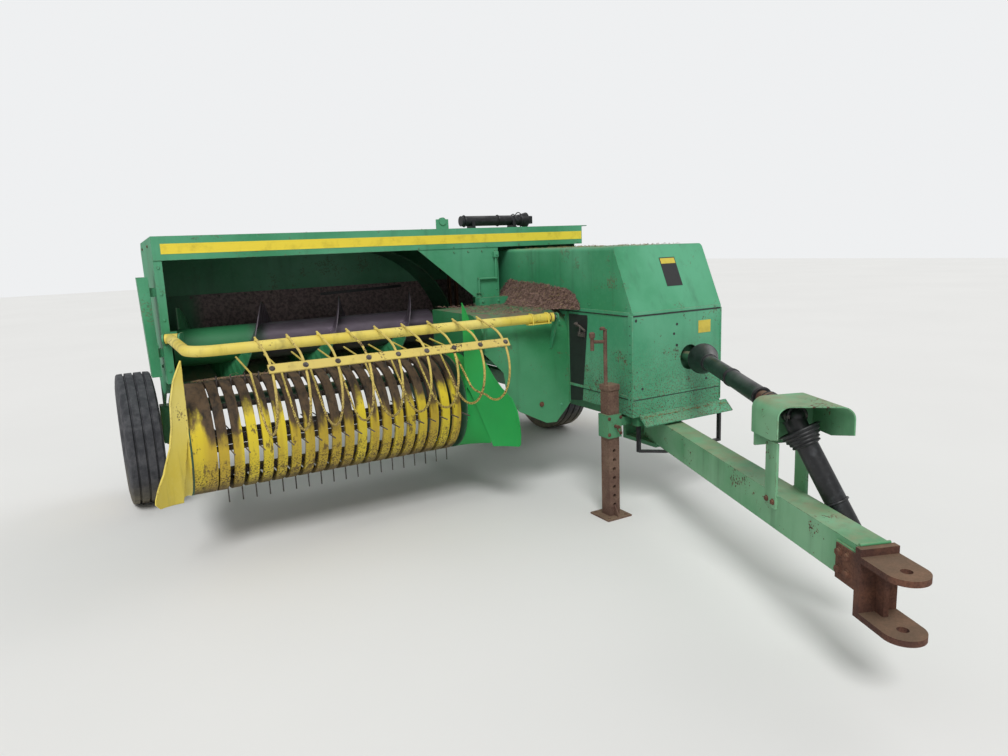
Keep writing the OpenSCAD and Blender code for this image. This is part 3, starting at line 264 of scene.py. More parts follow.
def auger_metal(name, flights, start):
    """Green paint at the outer end and low on the flights, else rubbed to purple-grey metal."""
    s = Shade(name)
    patch = s.noise(6, 8, 0.65)
    along = s.plus(s.span(s.axis(X), start, start + 0.5), s.both(patch, 0.2))
    bare = s.span(along, 0.35, 0.75)
    if flights:
        high = s.plus(s.span(s.axis(Z), 0.7, 0.98), s.both(patch, 0.3))
        bare = s.both(s.span(along, 0.0, 0.5), s.span(high, 0.45, 0.75))
    metal = s.mix(s.noise(28, 7, 0.6, (0.3, 1, 1)), linear(76, 66, 76), linear(128, 118, 130))
    color = s.mix(bare, s.mix(patch, linear(40, 112, 70), linear(56, 132, 86)), metal)
    color = s.mix(s.both(s.span(patch, 0.6, 0.7), 0.6), color, RUST)
    color = s.mix(s.both(s.edge(0.003), 0.7), color, linear(142, 138, 138))
    return s.finish(color, s.ramp(bare, 0.55, 0.36), metal=s.both(bare, 0.6), bump=patch,
                    depth=0.0006)


def straw(name, dark, light, scale=45):
    """Dry stalks or chaff, with light flecks."""
    s = Shade(name)
    tint = s.noise(scale, 4, 0.7)
    grain = s.noise(220, 4, 0.7)
    color = s.mix(s.span(tint, 0.3, 0.7), dark, light)
    color = s.mix(s.span(grain, 0.56, 0.68), color, light)
    return s.finish(color, 0.9, bump=grain, depth=0.003)


def film(name, tone):
    """Plain plate or film, duller in patches."""
    s = Shade(name)
    patch = s.noise(18, 6, 0.6)
    dull = tuple(c * 0.72 for c in tone[:3]) + (1.0,)
    color = s.mix(s.span(patch, 0.45, 0.8), tone, dull)
    return s.finish(color, s.ramp(patch, 0.3, 0.6), bump=patch, depth=0.0002)


LOOKS = {
    "green": weathered("green_paint", linear(52, 138, 94), linear(88, 164, 126), rust=0.25,
                       dust=0.35),
    # the housing is nowhere as low as its rubbed height: its forward faces only get painted shade
    "roof": weathered("roof_green", linear(58, 138, 96), linear(112, 172, 142), rust=0.3,
                      dust=0.5, shade_and_rubbed=0.5),
    "trough": weathered("trough_green", linear(44, 112, 76), linear(66, 134, 98), rust=0.4,
                        dust=0.8, grime=0.6, gloss=0.5, shade_and_rubbed=1.015),
    "box": weathered("box_green", linear(62, 146, 106), linear(98, 170, 134), rust=0.3,
                     low_rust=0.8, dust=0.5, specks=0.8, low=(0.5, 0.92)),
    "shield": weathered("shield_green", linear(46, 126, 78), linear(74, 146, 104), rust=0.3,
                        low_rust=0.3, dust=1.0, low=(0.35, 0.8), settles=linear(116, 92, 80)),
    # the green paint made darker as painted shade for parts inside the machine, with grime and dust
    "inside": weathered("inside_shaded_green", linear(26, 74, 50), linear(52, 104, 74), rust=0.5,
                        dust=0.8, grime=0.7, gloss=0.55),
    "frame": weathered("frame_green", linear(44, 112, 72), linear(78, 138, 100), rust=0.6,
                       low_rust=0.4, dust=0.6, grime=0.6),
    "tongue": weathered("tongue_green", linear(60, 138, 88), linear(126, 176, 138), rust=0.55,
                        dust=0.6, specks=1.0),
    "new": weathered("new_green_paint", linear(14, 142, 54), linear(22, 152, 70), rust=0.0,
                     dust=0.1, grime=0.05, gloss=0.25, specks=0.05, worn_edge=0.1),
    "yellow": weathered("yellow_paint", linear(218, 196, 72), linear(230, 214, 122), rust=0.4,
                        dust=0.2, grime=0.45, specks=0.8),
    "wire": weathered("wire_yellow", linear(216, 196, 92), linear(206, 184, 100), rust=0.7,
                      low_rust=1.0, dust=0.1, grime=0.3, specks=1.0, low=(0.66, 0.86)),
    "band": band_paint(),
    "stripe": film("stripe_yellow", linear(240, 216, 62)),
    "black": black_plastic(),
    "rubber": rubber(),
    "rust": rusted("rusty_steel", linear(74, 46, 38), linear(112, 74, 56)),
    "jack": rusted("jack_rust", linear(92, 66, 56), linear(120, 96, 80)),
    "steel": rusted("worn_steel", linear(104, 96, 92), linear(134, 128, 126), shine=0.7),
    "auger": auger_metal("auger_metal", False, -0.98),
    "flight": auger_metal("flight_paint", True, -1.0),
    # dark plate colour, also used for painted shade: the strips by the seams and the holes
    "plate": film("dark_plate_and_painted_shade", linear(40, 40, 42)),
    "label": film("plate_yellow", linear(206, 186, 70)),
    "hay": straw("dry_hay", linear(88, 72, 46), linear(164, 144, 98)),
    "chaff": straw("dark_chaff", linear(74, 54, 48), linear(146, 118, 106), 60),
}
NODE_LOOKS = {
    "green": ["end_wall", "end_channel", "fascia", "gusset_panel", "bale_case", "tension_rails",
              "bale_chute", "twine_box", "twine_lid", "hood", "control_rod",
              "windguard_brackets"],
    "roof": ["housing_back"],
    "box": ["front_shield"],
    "shield": ["drive_shield"],
    "trough": ["feeder_trough"],
    "inside": ["feeder_arch", "gearbox", "flywheel", "pickup_frame"],
    "frame": ["main_frame", "axle", "jack_bracket", "pickup_hangers"],
    "tongue": ["tongue_beam", "shaft_stand", "joint_hood"],
    "new": ["side_sheet_left"],
    "yellow": ["side_sheet_right", "windguard_pipe", "rim_right", "rim_left"],
    "wire": ["windguard_rods", "windguard_tips", "windguard_bar"],
    "band": ["pickup_bands"],
    "stripe": ["stripe"],
    "black": ["spare_shaft", "front_shaft", "shaft_tube", "guide_strap"],
    "rubber": ["tyre_right", "tyre_left"],
    "rust": ["feeder_fingers", "knotters", "needle_frame", "hitch_clevis", "shaft_inner"],
    "jack": ["jack_leg"],
    "steel": ["tension_screws", "pickup_reel", "plunger"],
    "auger": ["auger_drum"],
    "flight": ["auger_flight"],
}
for look, names in NODE_LOOKS.items():
    for name in names:
        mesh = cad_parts[name].data
        mesh.materials.clear()
        mesh.materials.append(LOOKS[look])


# ---------------------------------------------------------------- shapes

class Piece:
    """Gathers small solids, given in the drawing's millimetres, into one mesh."""

    def __init__(self):
        self.points, self.faces = [], []

    def add(self, points, faces):
        first = len(self.points)
        self.points += [at(*p) for p in points]
        self.faces += [[first + i for i in f] for f in faces]

    def skin(self, points, sides):
        """Closed skin over rings of points, each with as many points as sides."""
        last = len(points) - sides
        faces = []
        for i in range(0, last, sides):
            for k in range(sides):
                j = (k + 1) % sides
                faces.append([i + k, i + j, i + sides + j, i + sides + k])
        faces.append(list(range(sides))[::-1])
        faces.append([last + k for k in range(sides)])
        self.add(points, faces)

    def box(self, low, high, soft=1.5):
        """Block with chamfered edges."""
        low, high = Vector(low), Vector(high)
        soft = min(soft, min(high - low) * 0.45)
        mesh = bmesh.new()
        bmesh.ops.create_cube(mesh, size=1, matrix=Matrix.Translation((low + high) / 2)
                              @ Matrix.Diagonal((*(high - low), 1)))
        bmesh.ops.bevel(mesh, geom=mesh.edges[:], offset=soft, segments=1, affect="EDGES")
        mesh.verts.index_update()
        self.add([v.co[:] for v in mesh.verts], [[v.index for v in f.verts] for f in mesh.faces])
        mesh.free()

    def stack(self, start, normal, rings, sides=16, turn=0.0):
        """Turned solid: rings of (distance along normal, radius) round a line through start."""
        n = Vector(normal).normalized()
        u = n.orthogonal().normalized()
        w = n.cross(u)
        points = []
        for along, radius in rings:
            for k in range(sides):
                a = math.tau * k / sides + turn
                points.append(Vector(start) + n * along
                              + (u * math.cos(a) + w * math.sin(a)) * radius)
        self.skin(points, sides)

    def bolt(self, place, normal, size=8.0):
        """Washer and hexagon head with a chamfer."""
        washer = [(-1, size * 1.25), (size * 0.16, size * 1.25), (size * 0.2, size * 1.15)]
        head = [(0, size), (size * 0.66, size), (size * 0.8, size * 0.82)]
        self.stack(place, normal, washer, 14)
        self.stack(place, normal, head, 6, rng.uniform(0, 1))

    def bolts(self, start, end, count, normal, size=8.0):
        """Row of bolts from start to end."""
        start, end = Vector(start), Vector(end)
        for k in range(count):
            self.bolt(start.lerp(end, k / (count - 1)), normal, size)

    def tube(self, path, radius, sides=10, tip=None):
        """Round bar along a path, with closed ends; its radius may run to tip."""
        path = [Vector(p) for p in path]
        last = len(path) - 1
        points = []
        side = (path[1] - path[0]).orthogonal().normalized()
        for i, p in enumerate(path):
            ahead = (path[min(i + 1, last)] - path[max(i - 1, 0)]).normalized()
            side = (side - ahead * side.dot(ahead)).normalized()
            other = ahead.cross(side)
            r = radius if tip is None else radius + (tip - radius) * i / last
            for k in range(sides):
                a = math.tau * k / sides
                points.append(p + (side * math.cos(a) + other * math.sin(a)) * r)
        self.skin(points, sides)

    def ring(self, centre, normal, radius, thick, sides=28):
        """Closed round ring; thick is the radius of its bar, which has eight sides."""
        n = Vector(normal).normalized()
        u = n.orthogonal().normalized()
        w = n.cross(u)
        points, faces = [], []
        for i in range(sides):
            a = math.tau * i / sides
            out = u * math.cos(a) + w * math.sin(a)
            for k in range(8):
                b = math.tau * k / 8
                points.append(Vector(centre) + out * (radius + thick * math.cos(b))
                              + n * thick * math.sin(b))
        for i in range(sides):
            j = (i + 1) % sides
            for k in range(8):
                m = (k + 1) % 8
                faces.append([i * 8 + k, i * 8 + m, j * 8 + m, j * 8 + k])
        self.add(points, faces)

    def slab(self, outline, depth):
        """Plate with the given corners, as thick as the vector depth."""
        a = [Vector(p) for p in outline]
        count = len(a)
        b = [p + Vector(depth) for p in a]
        faces = [list(range(count))[::-1], [count + k for k in range(count)]]
        for k in range(count):
            j = (k + 1) % count
            faces.append([k, j, count + j, count + k])
        self.add(a + b, faces)

    def shell(self, rows, inward):
        """Closed thin sheet over rows of points; inward gives its thickness at a point."""
        a = [Vector(p) for row in rows for p in row]
        wide, long, count = len(rows[0]), len(rows), len(a)
        faces = []
        for i in range(long - 1):
            for k in range(wide - 1):
                corner = i * wide + k
                q = [corner, corner + 1, corner + wide + 1, corner + wide]
                faces += [q, [count + v for v in q[::-1]]]
        rim = list(range(wide))
        rim += [i * wide + wide - 1 for i in range(1, long)]
        rim += [(long - 1) * wide + k for k in range(wide - 2, -1, -1)]
        rim += [i * wide for i in range(long - 2, 0, -1)]
        faces += [[u, v, count + v, count + u] for u, v in zip(rim, rim[1:] + rim[:1])]
        self.add(a + [p + inward(p) for p in a], faces)

    def blade(self, place, heading, length, rise, width):
        """Bent flat stalk, a closed sliver with a small thickness."""
        d = Vector((math.cos(heading), math.sin(heading), rise)) * length
        side = Vector((-math.sin(heading), math.cos(heading), 0)) * width
        bow = Vector((0, 0, rng.uniform(1, 7)))
        start = Vector(place)
        points = []
        for p in (start - d / 2, start + bow, start + d / 2):
            points += [p - side / 2, p + side / 2, p + Vector((0, 0, 1.3))]
        faces = [[0, 2, 1], [6, 7, 8]]
        for i in (0, 3):
            for k in range(3):
                j = (k + 1) % 3
                faces.append([i + k, i + j, i + 3 + j, i + 3 + k])
        self.add(points, faces)

    def make(self, name, body, look, smooth=38):
        """The piece as an object on its body; edges up to smooth degrees are shaded smooth."""
        mesh = bpy.data.meshes.new(name)
        mesh.from_pydata(self.points, [], self.faces)
        work = bmesh.new()
        work.from_mesh(mesh)
        bmesh.ops.recalc_face_normals(work, faces=work.faces[:])
        work.to_mesh(mesh)
        work.free()
        mesh.polygons.foreach_set("use_smooth", [True] * len(mesh.polygons))
        mesh.set_sharp_from_angle(angle=math.radians(smooth))
        mesh.materials.append(LOOKS[look])
        made = bpy.data.objects.new(name, mesh)
        bpy.context.collection.objects.link(made)
        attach(made, body)
        return made


def tyre(name, body, node, side):
    """Ribbed implement tyre with straight grooves, shoulder notches and rings on its side walls."""
    low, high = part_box(node)
    centre = [(a + b) / 2 for a, b in zip(low, high)]
    radius, half = (high[2] - low[2]) / 2, (high[0] - low[0]) / 2
    rim, groove, notch = 0.19, 0.012, 0.004

    # points of the section, as radius and share of half the width
    wall = [(rim, -0.72), (rim + 0.012, -0.86), (rim + 0.03, -0.94), (rim + 0.034, -0.955),
            (rim + 0.05, -0.97), (rim + 0.08, -0.995), (radius - 0.062, -1.0),
            (radius - 0.058, -0.985), (radius - 0.04, -0.97), (radius - 0.022, -0.94),
            (radius - 0.008, -0.9), (radius - 0.002, -0.84)]
    section = wall[:]
    for g in (-0.5, 0, 0.5):
        section += [(radius, g - 0.06), (radius - groove, g - 0.04), (radius - groove, g + 0.04),
                    (radius, g + 0.06)]
    section += [(r, -a) for r, a in wall[::-1]]

    steps, count = 168, len(section)
    tread = Piece()
    for i in range(steps):
        angle = math.tau * i / steps
        for r, a in section:
            cut = notch if abs(a) > 0.9 and r > radius - 0.04 and i % 6 < 2 else 0
            tread.points.append(Vector((centre[0] + a * half,
                                        centre[1] + (r - cut) * math.sin(angle),
                                        centre[2] + (r - cut) * math.cos(angle))))
    for i in range(steps):
        j = (i + 1) % steps
        for k in range(count):
            m = (k + 1) % count
            tread.faces.append([i * count + k, j * count + k, j * count + m, i * count + m])
    made = tread.make(name, body, "rubber", 30)
    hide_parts(node)

    nuts = Piece()
    nut_circle = 84
    x = (centre[0] - ZERO[0]) * 1000
    y, z = (centre[1] - ZERO[1]) * 1000, centre[2] * 1000
    for k in range(5):
        a = math.tau * k / 5
        nuts.bolt((x + side * 4, y + nut_circle * math.sin(a), z + nut_circle * math.cos(a)),
                  (side, 0, 0), 9)
    nuts.stack((x + side * 40, y, z), (side, 0, 0), [(-2, 26), (14, 26), (20, 20), (21, 8)], 24)
    nuts.tube([(x + side * 10, y + 150, z), (x + side * 26, y + 146, z),
               (x + side * 44, y + 140, z)], 4, 8, 3)
    nuts.make(name + "_nuts", body, "steel")


tyre("tyre_tread_right", "wheel_right", "tyre_right", -1)
tyre("tyre_tread_left", "wheel_left", "tyre_left", 1)

# ---------------------------------------------------------------- housing and shields

HOOD_RIGHT, HOOD_LEFT = 1846, 2403  # x of the hood's side faces
HOOD_FRONT = -1080  # y of the front shield's face

bolts = Piece()
bolts.bolts((1290, -4, 1290), (2330, -4, 1290), 6, FORWARD, 4)
bolts.bolts((18, 0, 780), (18, 0, 1250), 5, FORWARD, 6)
bolts.bolts((0, 120, 790), (0, 540, 1000), 4, RIGHT, 8)
bolts.bolts((1500, 0, 1262), (1760, 0, 1262), 4, FORWARD, 5)
bolts.bolts((1760, 0, 970), (1760, 0, 1200), 4, FORWARD, 5)
bolts.bolts((HOOD_RIGHT, -1040, 990), (HOOD_RIGHT, 90, 990), 5, RIGHT, 5)
bolts.bolts((HOOD_LEFT, -1040, 990), (HOOD_LEFT, 90, 990), 5, LEFT, 5)
bolts.bolts((HOOD_LEFT, -1055, 560), (HOOD_LEFT, -1055, 930), 5, LEFT, 5)
bolts.bolts((1790, -580, 470), (1790, -580, 900), 2, FORWARD, 6)
bolts.make("panel_bolts", "main", "green")
rusty_bolts = Piece()
rusty_bolts.bolt((1668, -580, 486), FORWARD, 11)
rusty_bolts.bolts((0, 180, 1348), (0, 480, 1338), 2, RIGHT, 6)
rusty_bolts.make("rusty_bolts", "main", "rust")

seams = Piece()
seams.box((1843, -1066, 953), (1848, 128, 969), 1.5)
seams.box((2401, -1066, 953), (2406, 128, 969), 1.5)
seams.box((1850, -1084, 955), (2399, -1078, 969), 1.5)
seams.box((1842, -1084, 500), (1850, -1052, 955), 2)
seams.box((2399, -1084, 500), (2407, -1052, 955), 2)
seams.box((1850, -1082.5, 563), (2399, -1079, 575), 1)
seams.box((1842, -1050, 566), (1847, -500, 580), 1)
seams.make("shield_seams", "main", "box")
# Dark strips under the seams and a dark sheet on the hood's side: painted shadow, not parts
shadow = Piece()
shadow.box((1843.5, -1081, 948), (1847, 128, 952.4), 0.5)
shadow.box((2402, -1081, 948), (2405.5, 128, 952.4), 0.5)
shadow.box((1846, -1082, 948), (2403, -1079, 954), 0.5)
shadow.box((1844, -1050, 562), (1847, -582, 565), 0.5)
shadow.box((1850, -1081.5, 559), (2399, -1079, 562), 0.5)
shadow.slab([(1845, -582, 486), (1845, -690, 500), (1845, -742, 900), (1845, -742, 936),
             (1845, -582, 936)], (2, 0, 0))
shadow.make("shield_painted_shadows", "main", "plate")
edging = Piece()
edging.box((1350, -586, 790), (1362, -578, 950), 1.5)
edging.box((1838, -586, 480), (1847, -574, 948), 1.5)
edging.make("drive_shield_edging", "main", "shield")


def wall_y(z):
    """Depth of the inner face of the housing's sloping back wall."""
    return 545 + 75 * (z - 910) / 420 - 4


def rectangle(x0, x1, z0, z1):
    return (x0, z0), (x1, z0), (x1, z1), (x0, z1)


def on_wall(x0, x1, z0, z1, rise=0):
    """Corners of a strip on the sloping back wall, just behind its face; rise lifts its x1 end."""
    return [(x, wall_y(z) + 0.5, z + (rise if x == x1 else 0))
            for x, z in rectangle(x0, x1, z0, z1)]


back_seam = Piece()
back_seam.slab(on_wall(5, 1845, 1066, 1092), (0, -4, 0))
back_seam.make("back_wall_seam", "main", "trough")
strip = Piece()
strip.slab(on_wall(905, 1405, 1044, 1060, 18), (0, -6, 0))
strip.make("wall_rubber_strip", "main", "black")
inner_bolts = Piece()
for k in range(13):
    inner_bolts.bolt((70 + k * 140, wall_y(1079) - 4, 1079), (0, -0.985, 0.17), 6)
inner_bolts.make("back_wall_bolts", "main", "steel")


# Blank plates, holes drawn as dark discs of painted shade, and the latch of the front shields

def on_slope(x0, x1, z0, z1, lift):
    """Corners of a plate on the hood's sloping front, lifted off its face."""
    return [(x, HOOD_FRONT + 137 * (z - 965) / 300 - 0.91 * lift, z + 0.41 * lift)
            for x, z in rectangle(x0, x1, z0, z1)]


plate = Piece()
plate.slab(on_slope(2101, 2198, 1072, 1205, 0.2), (0, -1.1, 0.5))
plate.make("blank_plate_dark", "main", "plate")
label = Piece()
label.slab(on_slope(2105, 2194, 1176, 1201, 1.5), (0, -0.3, 0.1))
label.box((2254, -1081.4, 840), (2334, -1079.8, 900), 0.4)
label.make("blank_plate_yellow", "main", "label")
# Dark discs where the shields have holes: painted shade, for the dark seen through them.
holes = Piece()
for x, z in ((1868, 930), (2117, 895), (2099, 851), (2117, 795), (1905, 610), (2310, 612)):
    holes.stack((x, HOOD_FRONT, z), FORWARD, [(-1, 7), (0.3, 7), (0.4, 6)], 16)
for z in range(520, 950, 43):
    holes.stack((1842, -1068, z), RIGHT, [(-1, 3.4), (0.3, 3.4), (0.35, 3)], 10)
holes.make("painted_shade_holes", "main", "plate")
latch = Piece()
latch.bolt((HOOD_RIGHT, -650, 886), RIGHT, 10)
latch.tube([(1836, -646, 890), (1832, -690, 882), (1830, -741, 860)], 5)
latch.tube([(1846, -690, 842), (1834, -690, 842), (1830, -700, 880)], 4)
latch.box((1840, -720, 826), (1846, -664, 850), 1.5)
latch.make("side_latch", "main", "steel")
lip = Piece()
lip.tube([(1888, -1123, 441), (2446, -1123, 441)], 5)
for x in (1888, 2442):
    lip.slab([(x, -1084, 484), (x, -1124, 444), (x, -1084, 466)], (4, 0, 0))
lip.make("front_lip_bead", "main", "box")
clip = Piece()
clip.box((1738, -26, 1226), (1766, 1, 1258), 2)
clip.bolt((1752, -26, 1242), FORWARD, 6)
clip.stack((1640, -12, 1030), UP, [(0, 15), (4, 15)], 18)
for x in (1640, 1740, 1820):
    clip.bolt((x, -50, 984), FORWARD, 7)
clip.make("control_rod_fittings", "main", "green")

# On the roof: the bracket and the spare shaft half, which lies along x
SPARE_Y, SPARE_Z = 300, 1438

bracket = Piece()
bracket.box((1533, 272, 1386), (1626, 328, 1392), 1.5)
bracket.box((1540, 296, 1390), (1619, 304, 1452), 1.5)
bracket.stack((1580, 290, 1440), BACKWARD, [(0, 22), (20, 22)], 18)
bracket.make("roof_bracket", "main", "green")
spare = Piece()
for x, r in ((1722, 33), (1950, 32), (2062, 36), (2100, 46)):
    spare.ring((x, SPARE_Y, SPARE_Z), LEFT, r, 3, 28)
spare.stack((2096, SPARE_Y, SPARE_Z), LEFT, [(0, 34), (8, 34), (10, 20), (46, 20), (48, 16)], 20)
for y in (SPARE_Y - 16, SPARE_Y + 16):
    spare.box((2136, y - 4, 1414), (2192, y + 4, 1462), 3)
spare.stack((2166, SPARE_Y - 24, SPARE_Z), BACKWARD, [(0, 12), (48, 12)], 14)
spare.make("spare_shaft_joint", "main", "black")

# ---------------------------------------------------------------- pickup and windguard

HUB_Y, HUB_Z = -310, 520  # centre of the strips' round front
BAND_RADIUS = 240
TAIL_LONG, TAIL_DROP = 380, 60  # how far the strips run back from their top, and down
TAIL_UP = (0, 0.156, 0.988)  # the way the upper face of these tails looks
BAND_X = [133 + 59.5 * i for i in range(19)]  # middle of each strip
BEARING_Y, BEARING_Z = -335, 500  # the reel's axis

fasteners = Piece()
for x in BAND_X:
    fasteners.bolt((x, 30, 706.8), TAIL_UP, 6)
    fasteners.bolt((x, -85, 280), DOWN, 6)
for x in (30, 60, 90):
    fasteners.bolt((x, 30, 706.8), TAIL_UP, 6)
for z in (570, 620, 670):
    fasteners.bolt((4, -492, z), RIGHT, 8)
    fasteners.bolt((1264, -492, z), LEFT, 8)
fasteners.make("pickup_bolts", "pickup", "rust")
bearings = Piece()
for x, side in ((8, -1), (1260, 1)):
    out = (side, 0, 0)
    bearings.stack((x, BEARING_Y, BEARING_Z), out,
                   [(-0.5, 66), (5, 66), (7, 60), (8, 44), (20, 40), (24, 30)], 28)
    for k in range(4):
        a = math.tau * (k + 0.5) / 4
        bearings.bolt((x + side * 6, BEARING_Y + 53 * math.sin(a), BEARING_Z + 53 * math.cos(a)),
                      out, 6)
bearings.ring((1260, HUB_Y, HUB_Z), LEFT, 226, 5, 48)
bearings.make("reel_bearings", "pickup", "rust")

# The bowed side sheets in plan: where each starts and ends, and the side that it bows to
RIGHT_SHEET = (8, -538), (-150, -708), 1
LEFT_SHEET = (1260, -540), (1439, -752), -1
SHEET_RADIUS = 330


def on_sheet(sheet, along, z, inset=0):
    """Point on a bowed side sheet, or inset below its face."""
    start, end, side = sheet
    d = Vector((end[0] - start[0], end[1] - start[1], 0))
    half = d.length / 2
    d.normalize()
    flat = math.sqrt(SHEET_RADIUS ** 2 - half ** 2)
    bow = math.sqrt(SHEET_RADIUS ** 2 - (along - half) ** 2) - flat
    return Vector((*start, z)) + d * along - Vector((-d.y, d.x, 0)) * side * (bow - inset)


def sheet_bead(sheet, outline, name, look):
    """Rolled bead along the edge of a bowed side sheet; outline holds (along, height)."""
    path = []
    for (s0, z0), (s1, z1) in zip(outline, outline[1:]):
        for k in range(5):
            path.append(on_sheet(sheet, s0 + (s1 - s0) * k / 5, z0 + (z1 - z0) * k / 5, 2))
    bead = Piece()
    bead.tube(path, 4, 8)
    bead.make(name, "pickup", look)


sheet_bead(RIGHT_SHEET, [(0, 893), (40, 820), (66, 735), (74, 640), (96, 560), (150, 470),
                         (228, 402)], "right_flare_bead", "yellow")
sheet_bead(LEFT_SHEET, [(0, 1030), (14, 990), (92, 744), (140, 660), (176, 615), (228, 568),
                        (256, 511), (270, 440)], "left_flare_bead", "new")


def band_outline(a):
    """Depth and height of the strips' outline, by the angle from the top towards the front."""
    if a < 0:
        return HUB_Y - TAIL_LONG * a / 80, HUB_Z + BAND_RADIUS + TAIL_DROP * a / 80
    turned = math.radians(a)
    return HUB_Y - BAND_RADIUS * math.sin(turned), HUB_Z + BAND_RADIUS * math.cos(turned)


def end_band(x, wide, sheet, along, first, name, look):
    """Sheet that closes the pickup's end and runs out into the bowed side sheet in front."""
    rows = []
    for step in range(25):
        a = first + (166 - first) * step / 24
        y, z = band_outline(a)
        share = min(1, max(0, (a - 52) / 42))
        share = share * share * (3 - 2 * share)
        seam = on_sheet(sheet, along, max(z, 341))
        row = []
        for k in range(7):
            f = k / 6
            plain = Vector((x + wide * f, y, z))
            bowed = Vector((x, y, z)).lerp(seam, f) + Vector((0, 84 * f * (1 - f), 0))
            row.append(plain.lerp(bowed, share))
        rows.append(row)
    piece = Piece()
    piece.shell(rows, lambda p: Vector((0, HUB_Y - p.y, HUB_Z - p.z)).normalized() * 3)
    piece.make(name, "pickup", look)


end_band(1262, 72, LEFT_SHEET, 108, -76, "left_end_band", "new")
end_band(6, -1, RIGHT_SHEET, 58, 50, "right_end_band", "yellow")

ROD_X = [285 + 126 * i for i in range(9)]
BAR_Y, BAR_Z = -884.2, 874.2  # middle of the flat bar's face
BAR_OUT = (0, -0.777, 0.629)
PIPE_Y, PIPE_Z = -640, 933  # the pipe's axis over the pickup

guard = Piece()
for x in ROD_X:
    guard.bolt((x, BAR_Y, BAR_Z), BAR_OUT, 9)
guard.bolt((1712, -644, PIPE_Z), (0.94, -0.34, 0), 13)
guard.make("windguard_bolts", "windguard", "steel")
clamps = Piece()
for x in ROD_X:
    clamps.box((x - 7, PIPE_Y - 12, 953), (x + 7, PIPE_Y + 12, 962), 3)
    if x < ROD_X[-1]:
        clamps.stack((x + 63, BAR_Y, BAR_Z), BAR_OUT, [(-1, 4), (0.5, 4), (0.6, 3)], 10)
clamps.make("windguard_clamps", "windguard", "wire")
weld = Piece()
weld.ring((1686, PIPE_Y, PIPE_Z), LEFT, 21, 3, 24)
weld.make("windguard_welds", "windguard", "rust")
last_end = Piece()
last_end.tube([(1293, -691, 602.4), (1289, -680, 606.5), (1272, -660, 614), (1254, -641, 627),
               (1247, -622, 643), (1243, -461, 793), (1242, -440, 803), (1240, -190, 829)], 4.6, 8)
last_end.make("windguard_last_end", "windguard", "wire")
strap = Piece()
strap.box((1560, -660, 904), (1690, -622, 911), 2)
for x in (1580, 1670):
    strap.tube([(x, -664, 905), (x, -664, 940), (x, -652, 956), (x, -628, 956), (x, -616, 940),
                (x, -616, 905)], 4)
strap.make("windguard_strap", "windguard", "yellow")

# ---------------------------------------------------------------- tongue, driveline and jack

PIVOT = Vector((2155, -900, 0))
TURN = math.radians(20.9)  # how far the tongue is swung to the pickup's side
AHEAD = Vector((-math.sin(TURN), -math.cos(TURN), 0))
SIDE = Vector((math.cos(TURN), -math.sin(TURN), 0))
STAND = 1145  # how far ahead of the pivot the shaft stand is
JOINT = PIVOT + AHEAD * STAND + Vector((0, 0, 705))
BELL = Vector((2200, -1170, 730))  # rear end of the driveline, in front of the shield
LINE = (JOINT - BELL).normalized()


def tongue(along, off, z):
    """Place on the tongue: how far ahead of the pivot, how far to its left, and its height."""
    return PIVOT + AHEAD * along + SIDE * off + Vector((0, 0, z))


tongue_bolts = Piece()
for side in (-1, 1):
    for along in (1615, 1655):
        for z in (325, 378):
            tongue_bolts.bolt(tongue(along, 60 * side, z), SIDE * side, 12)
    for along in (1200, 1240):
        tongue_bolts.bolt(tongue(along, 60 * side, 398), SIDE * side, 9)
    for z in (640, 720):
        tongue_bolts.bolt(tongue(STAND + 50, 84 * side, z), AHEAD, 8)
for k in range(3):
    a = math.tau * k / 3
    tongue_bolts.bolt(PIVOT + Vector((70 * math.cos(a), 60 * math.sin(a), 445)), UP, 9)
tongue_bolts.make("tongue_bolts", "tongue", "rust")
beads = Piece()
for off in (-52, 52):
    beads.tube([tongue(1180, off, 424), tongue(1260, off, 424)], 4)
    beads.tube([tongue(1592, off, 404), tongue(1712, off, 404)], 4)
    beads.tube([tongue(STAND + 39, off * 1.1, 603), tongue(STAND + 111, off * 1.1, 603)], 4)
beads.tube([tongue(1689, -48, 428), tongue(1689, 48, 428)], 5)
beads.ring(tongue(0, 0, 426), UP, 28, 4)
beads.make("tongue_welds", "tongue", "tongue")

# Ends of the front half of the shaft: offset, distance ahead as a minus, and height
SHAFT_LOW, SHAFT_HIGH = Vector((152, -STAND - 310, 250)), Vector((-4, -STAND - 110, 691))
FALL = (SHAFT_LOW - SHAFT_HIGH).normalized()


def hanging(along):
    """Place on the axis of the front half of the shaft, from its upper end."""
    q = SHAFT_HIGH + FALL * along
    return tongue(-q.y, q.x, q.z)


heading = (hanging(100) - hanging(0)).normalized()
boot = Piece()
for along, r in ((45, 66), (58, 60), (70, 54), (82, 48), (94, 44), (300, 38), (470, 38)):
    boot.ring(hanging(along), heading, r, 4, 32)
boot.stack(hanging(505), heading, [(0, 37), (4, 37), (6, 30), (30, 27), (32, 20)], 24)
boot.ring(tongue(STAND + 124, 0, 700), AHEAD, 34, 6, 28)
boot.make("front_shaft_rings", "tongue", "black")
cross = Piece()
centre = tongue(STAND + 118, 0, 701)
for n in (SIDE, Vector(UP)):
    for side in (-1, 1):
        cross.stack(centre + n * 22 * side, n * side, [(0, 13), (14, 13), (17, 9)], 16)
cross.make("front_joint_cross", "tongue", "steel")
tube_rings = Piece()
for along, r in ((-7, 70), (100, 39)):
    tube_rings.ring(BELL + LINE * along, LINE, r, 3.2, 32)
for along in (112, 420, 432, 770):
    tube_rings.ring(BELL + LINE * along, LINE, 35, 4, 32)
tube_rings.make("shaft_tube_rings", "driveline", "black")
inner_rings = Piece()
reach = (JOINT - BELL).length
for along in (reach - 74, reach - 50, reach - 27):
    inner_rings.ring(BELL + LINE * along, LINE, 36, 3, 28)
inner_rings.make("inner_shaft_rings", "driveline_slide", "black")

JACK_X, JACK_Y = 1775, -1000  # the leg's axis

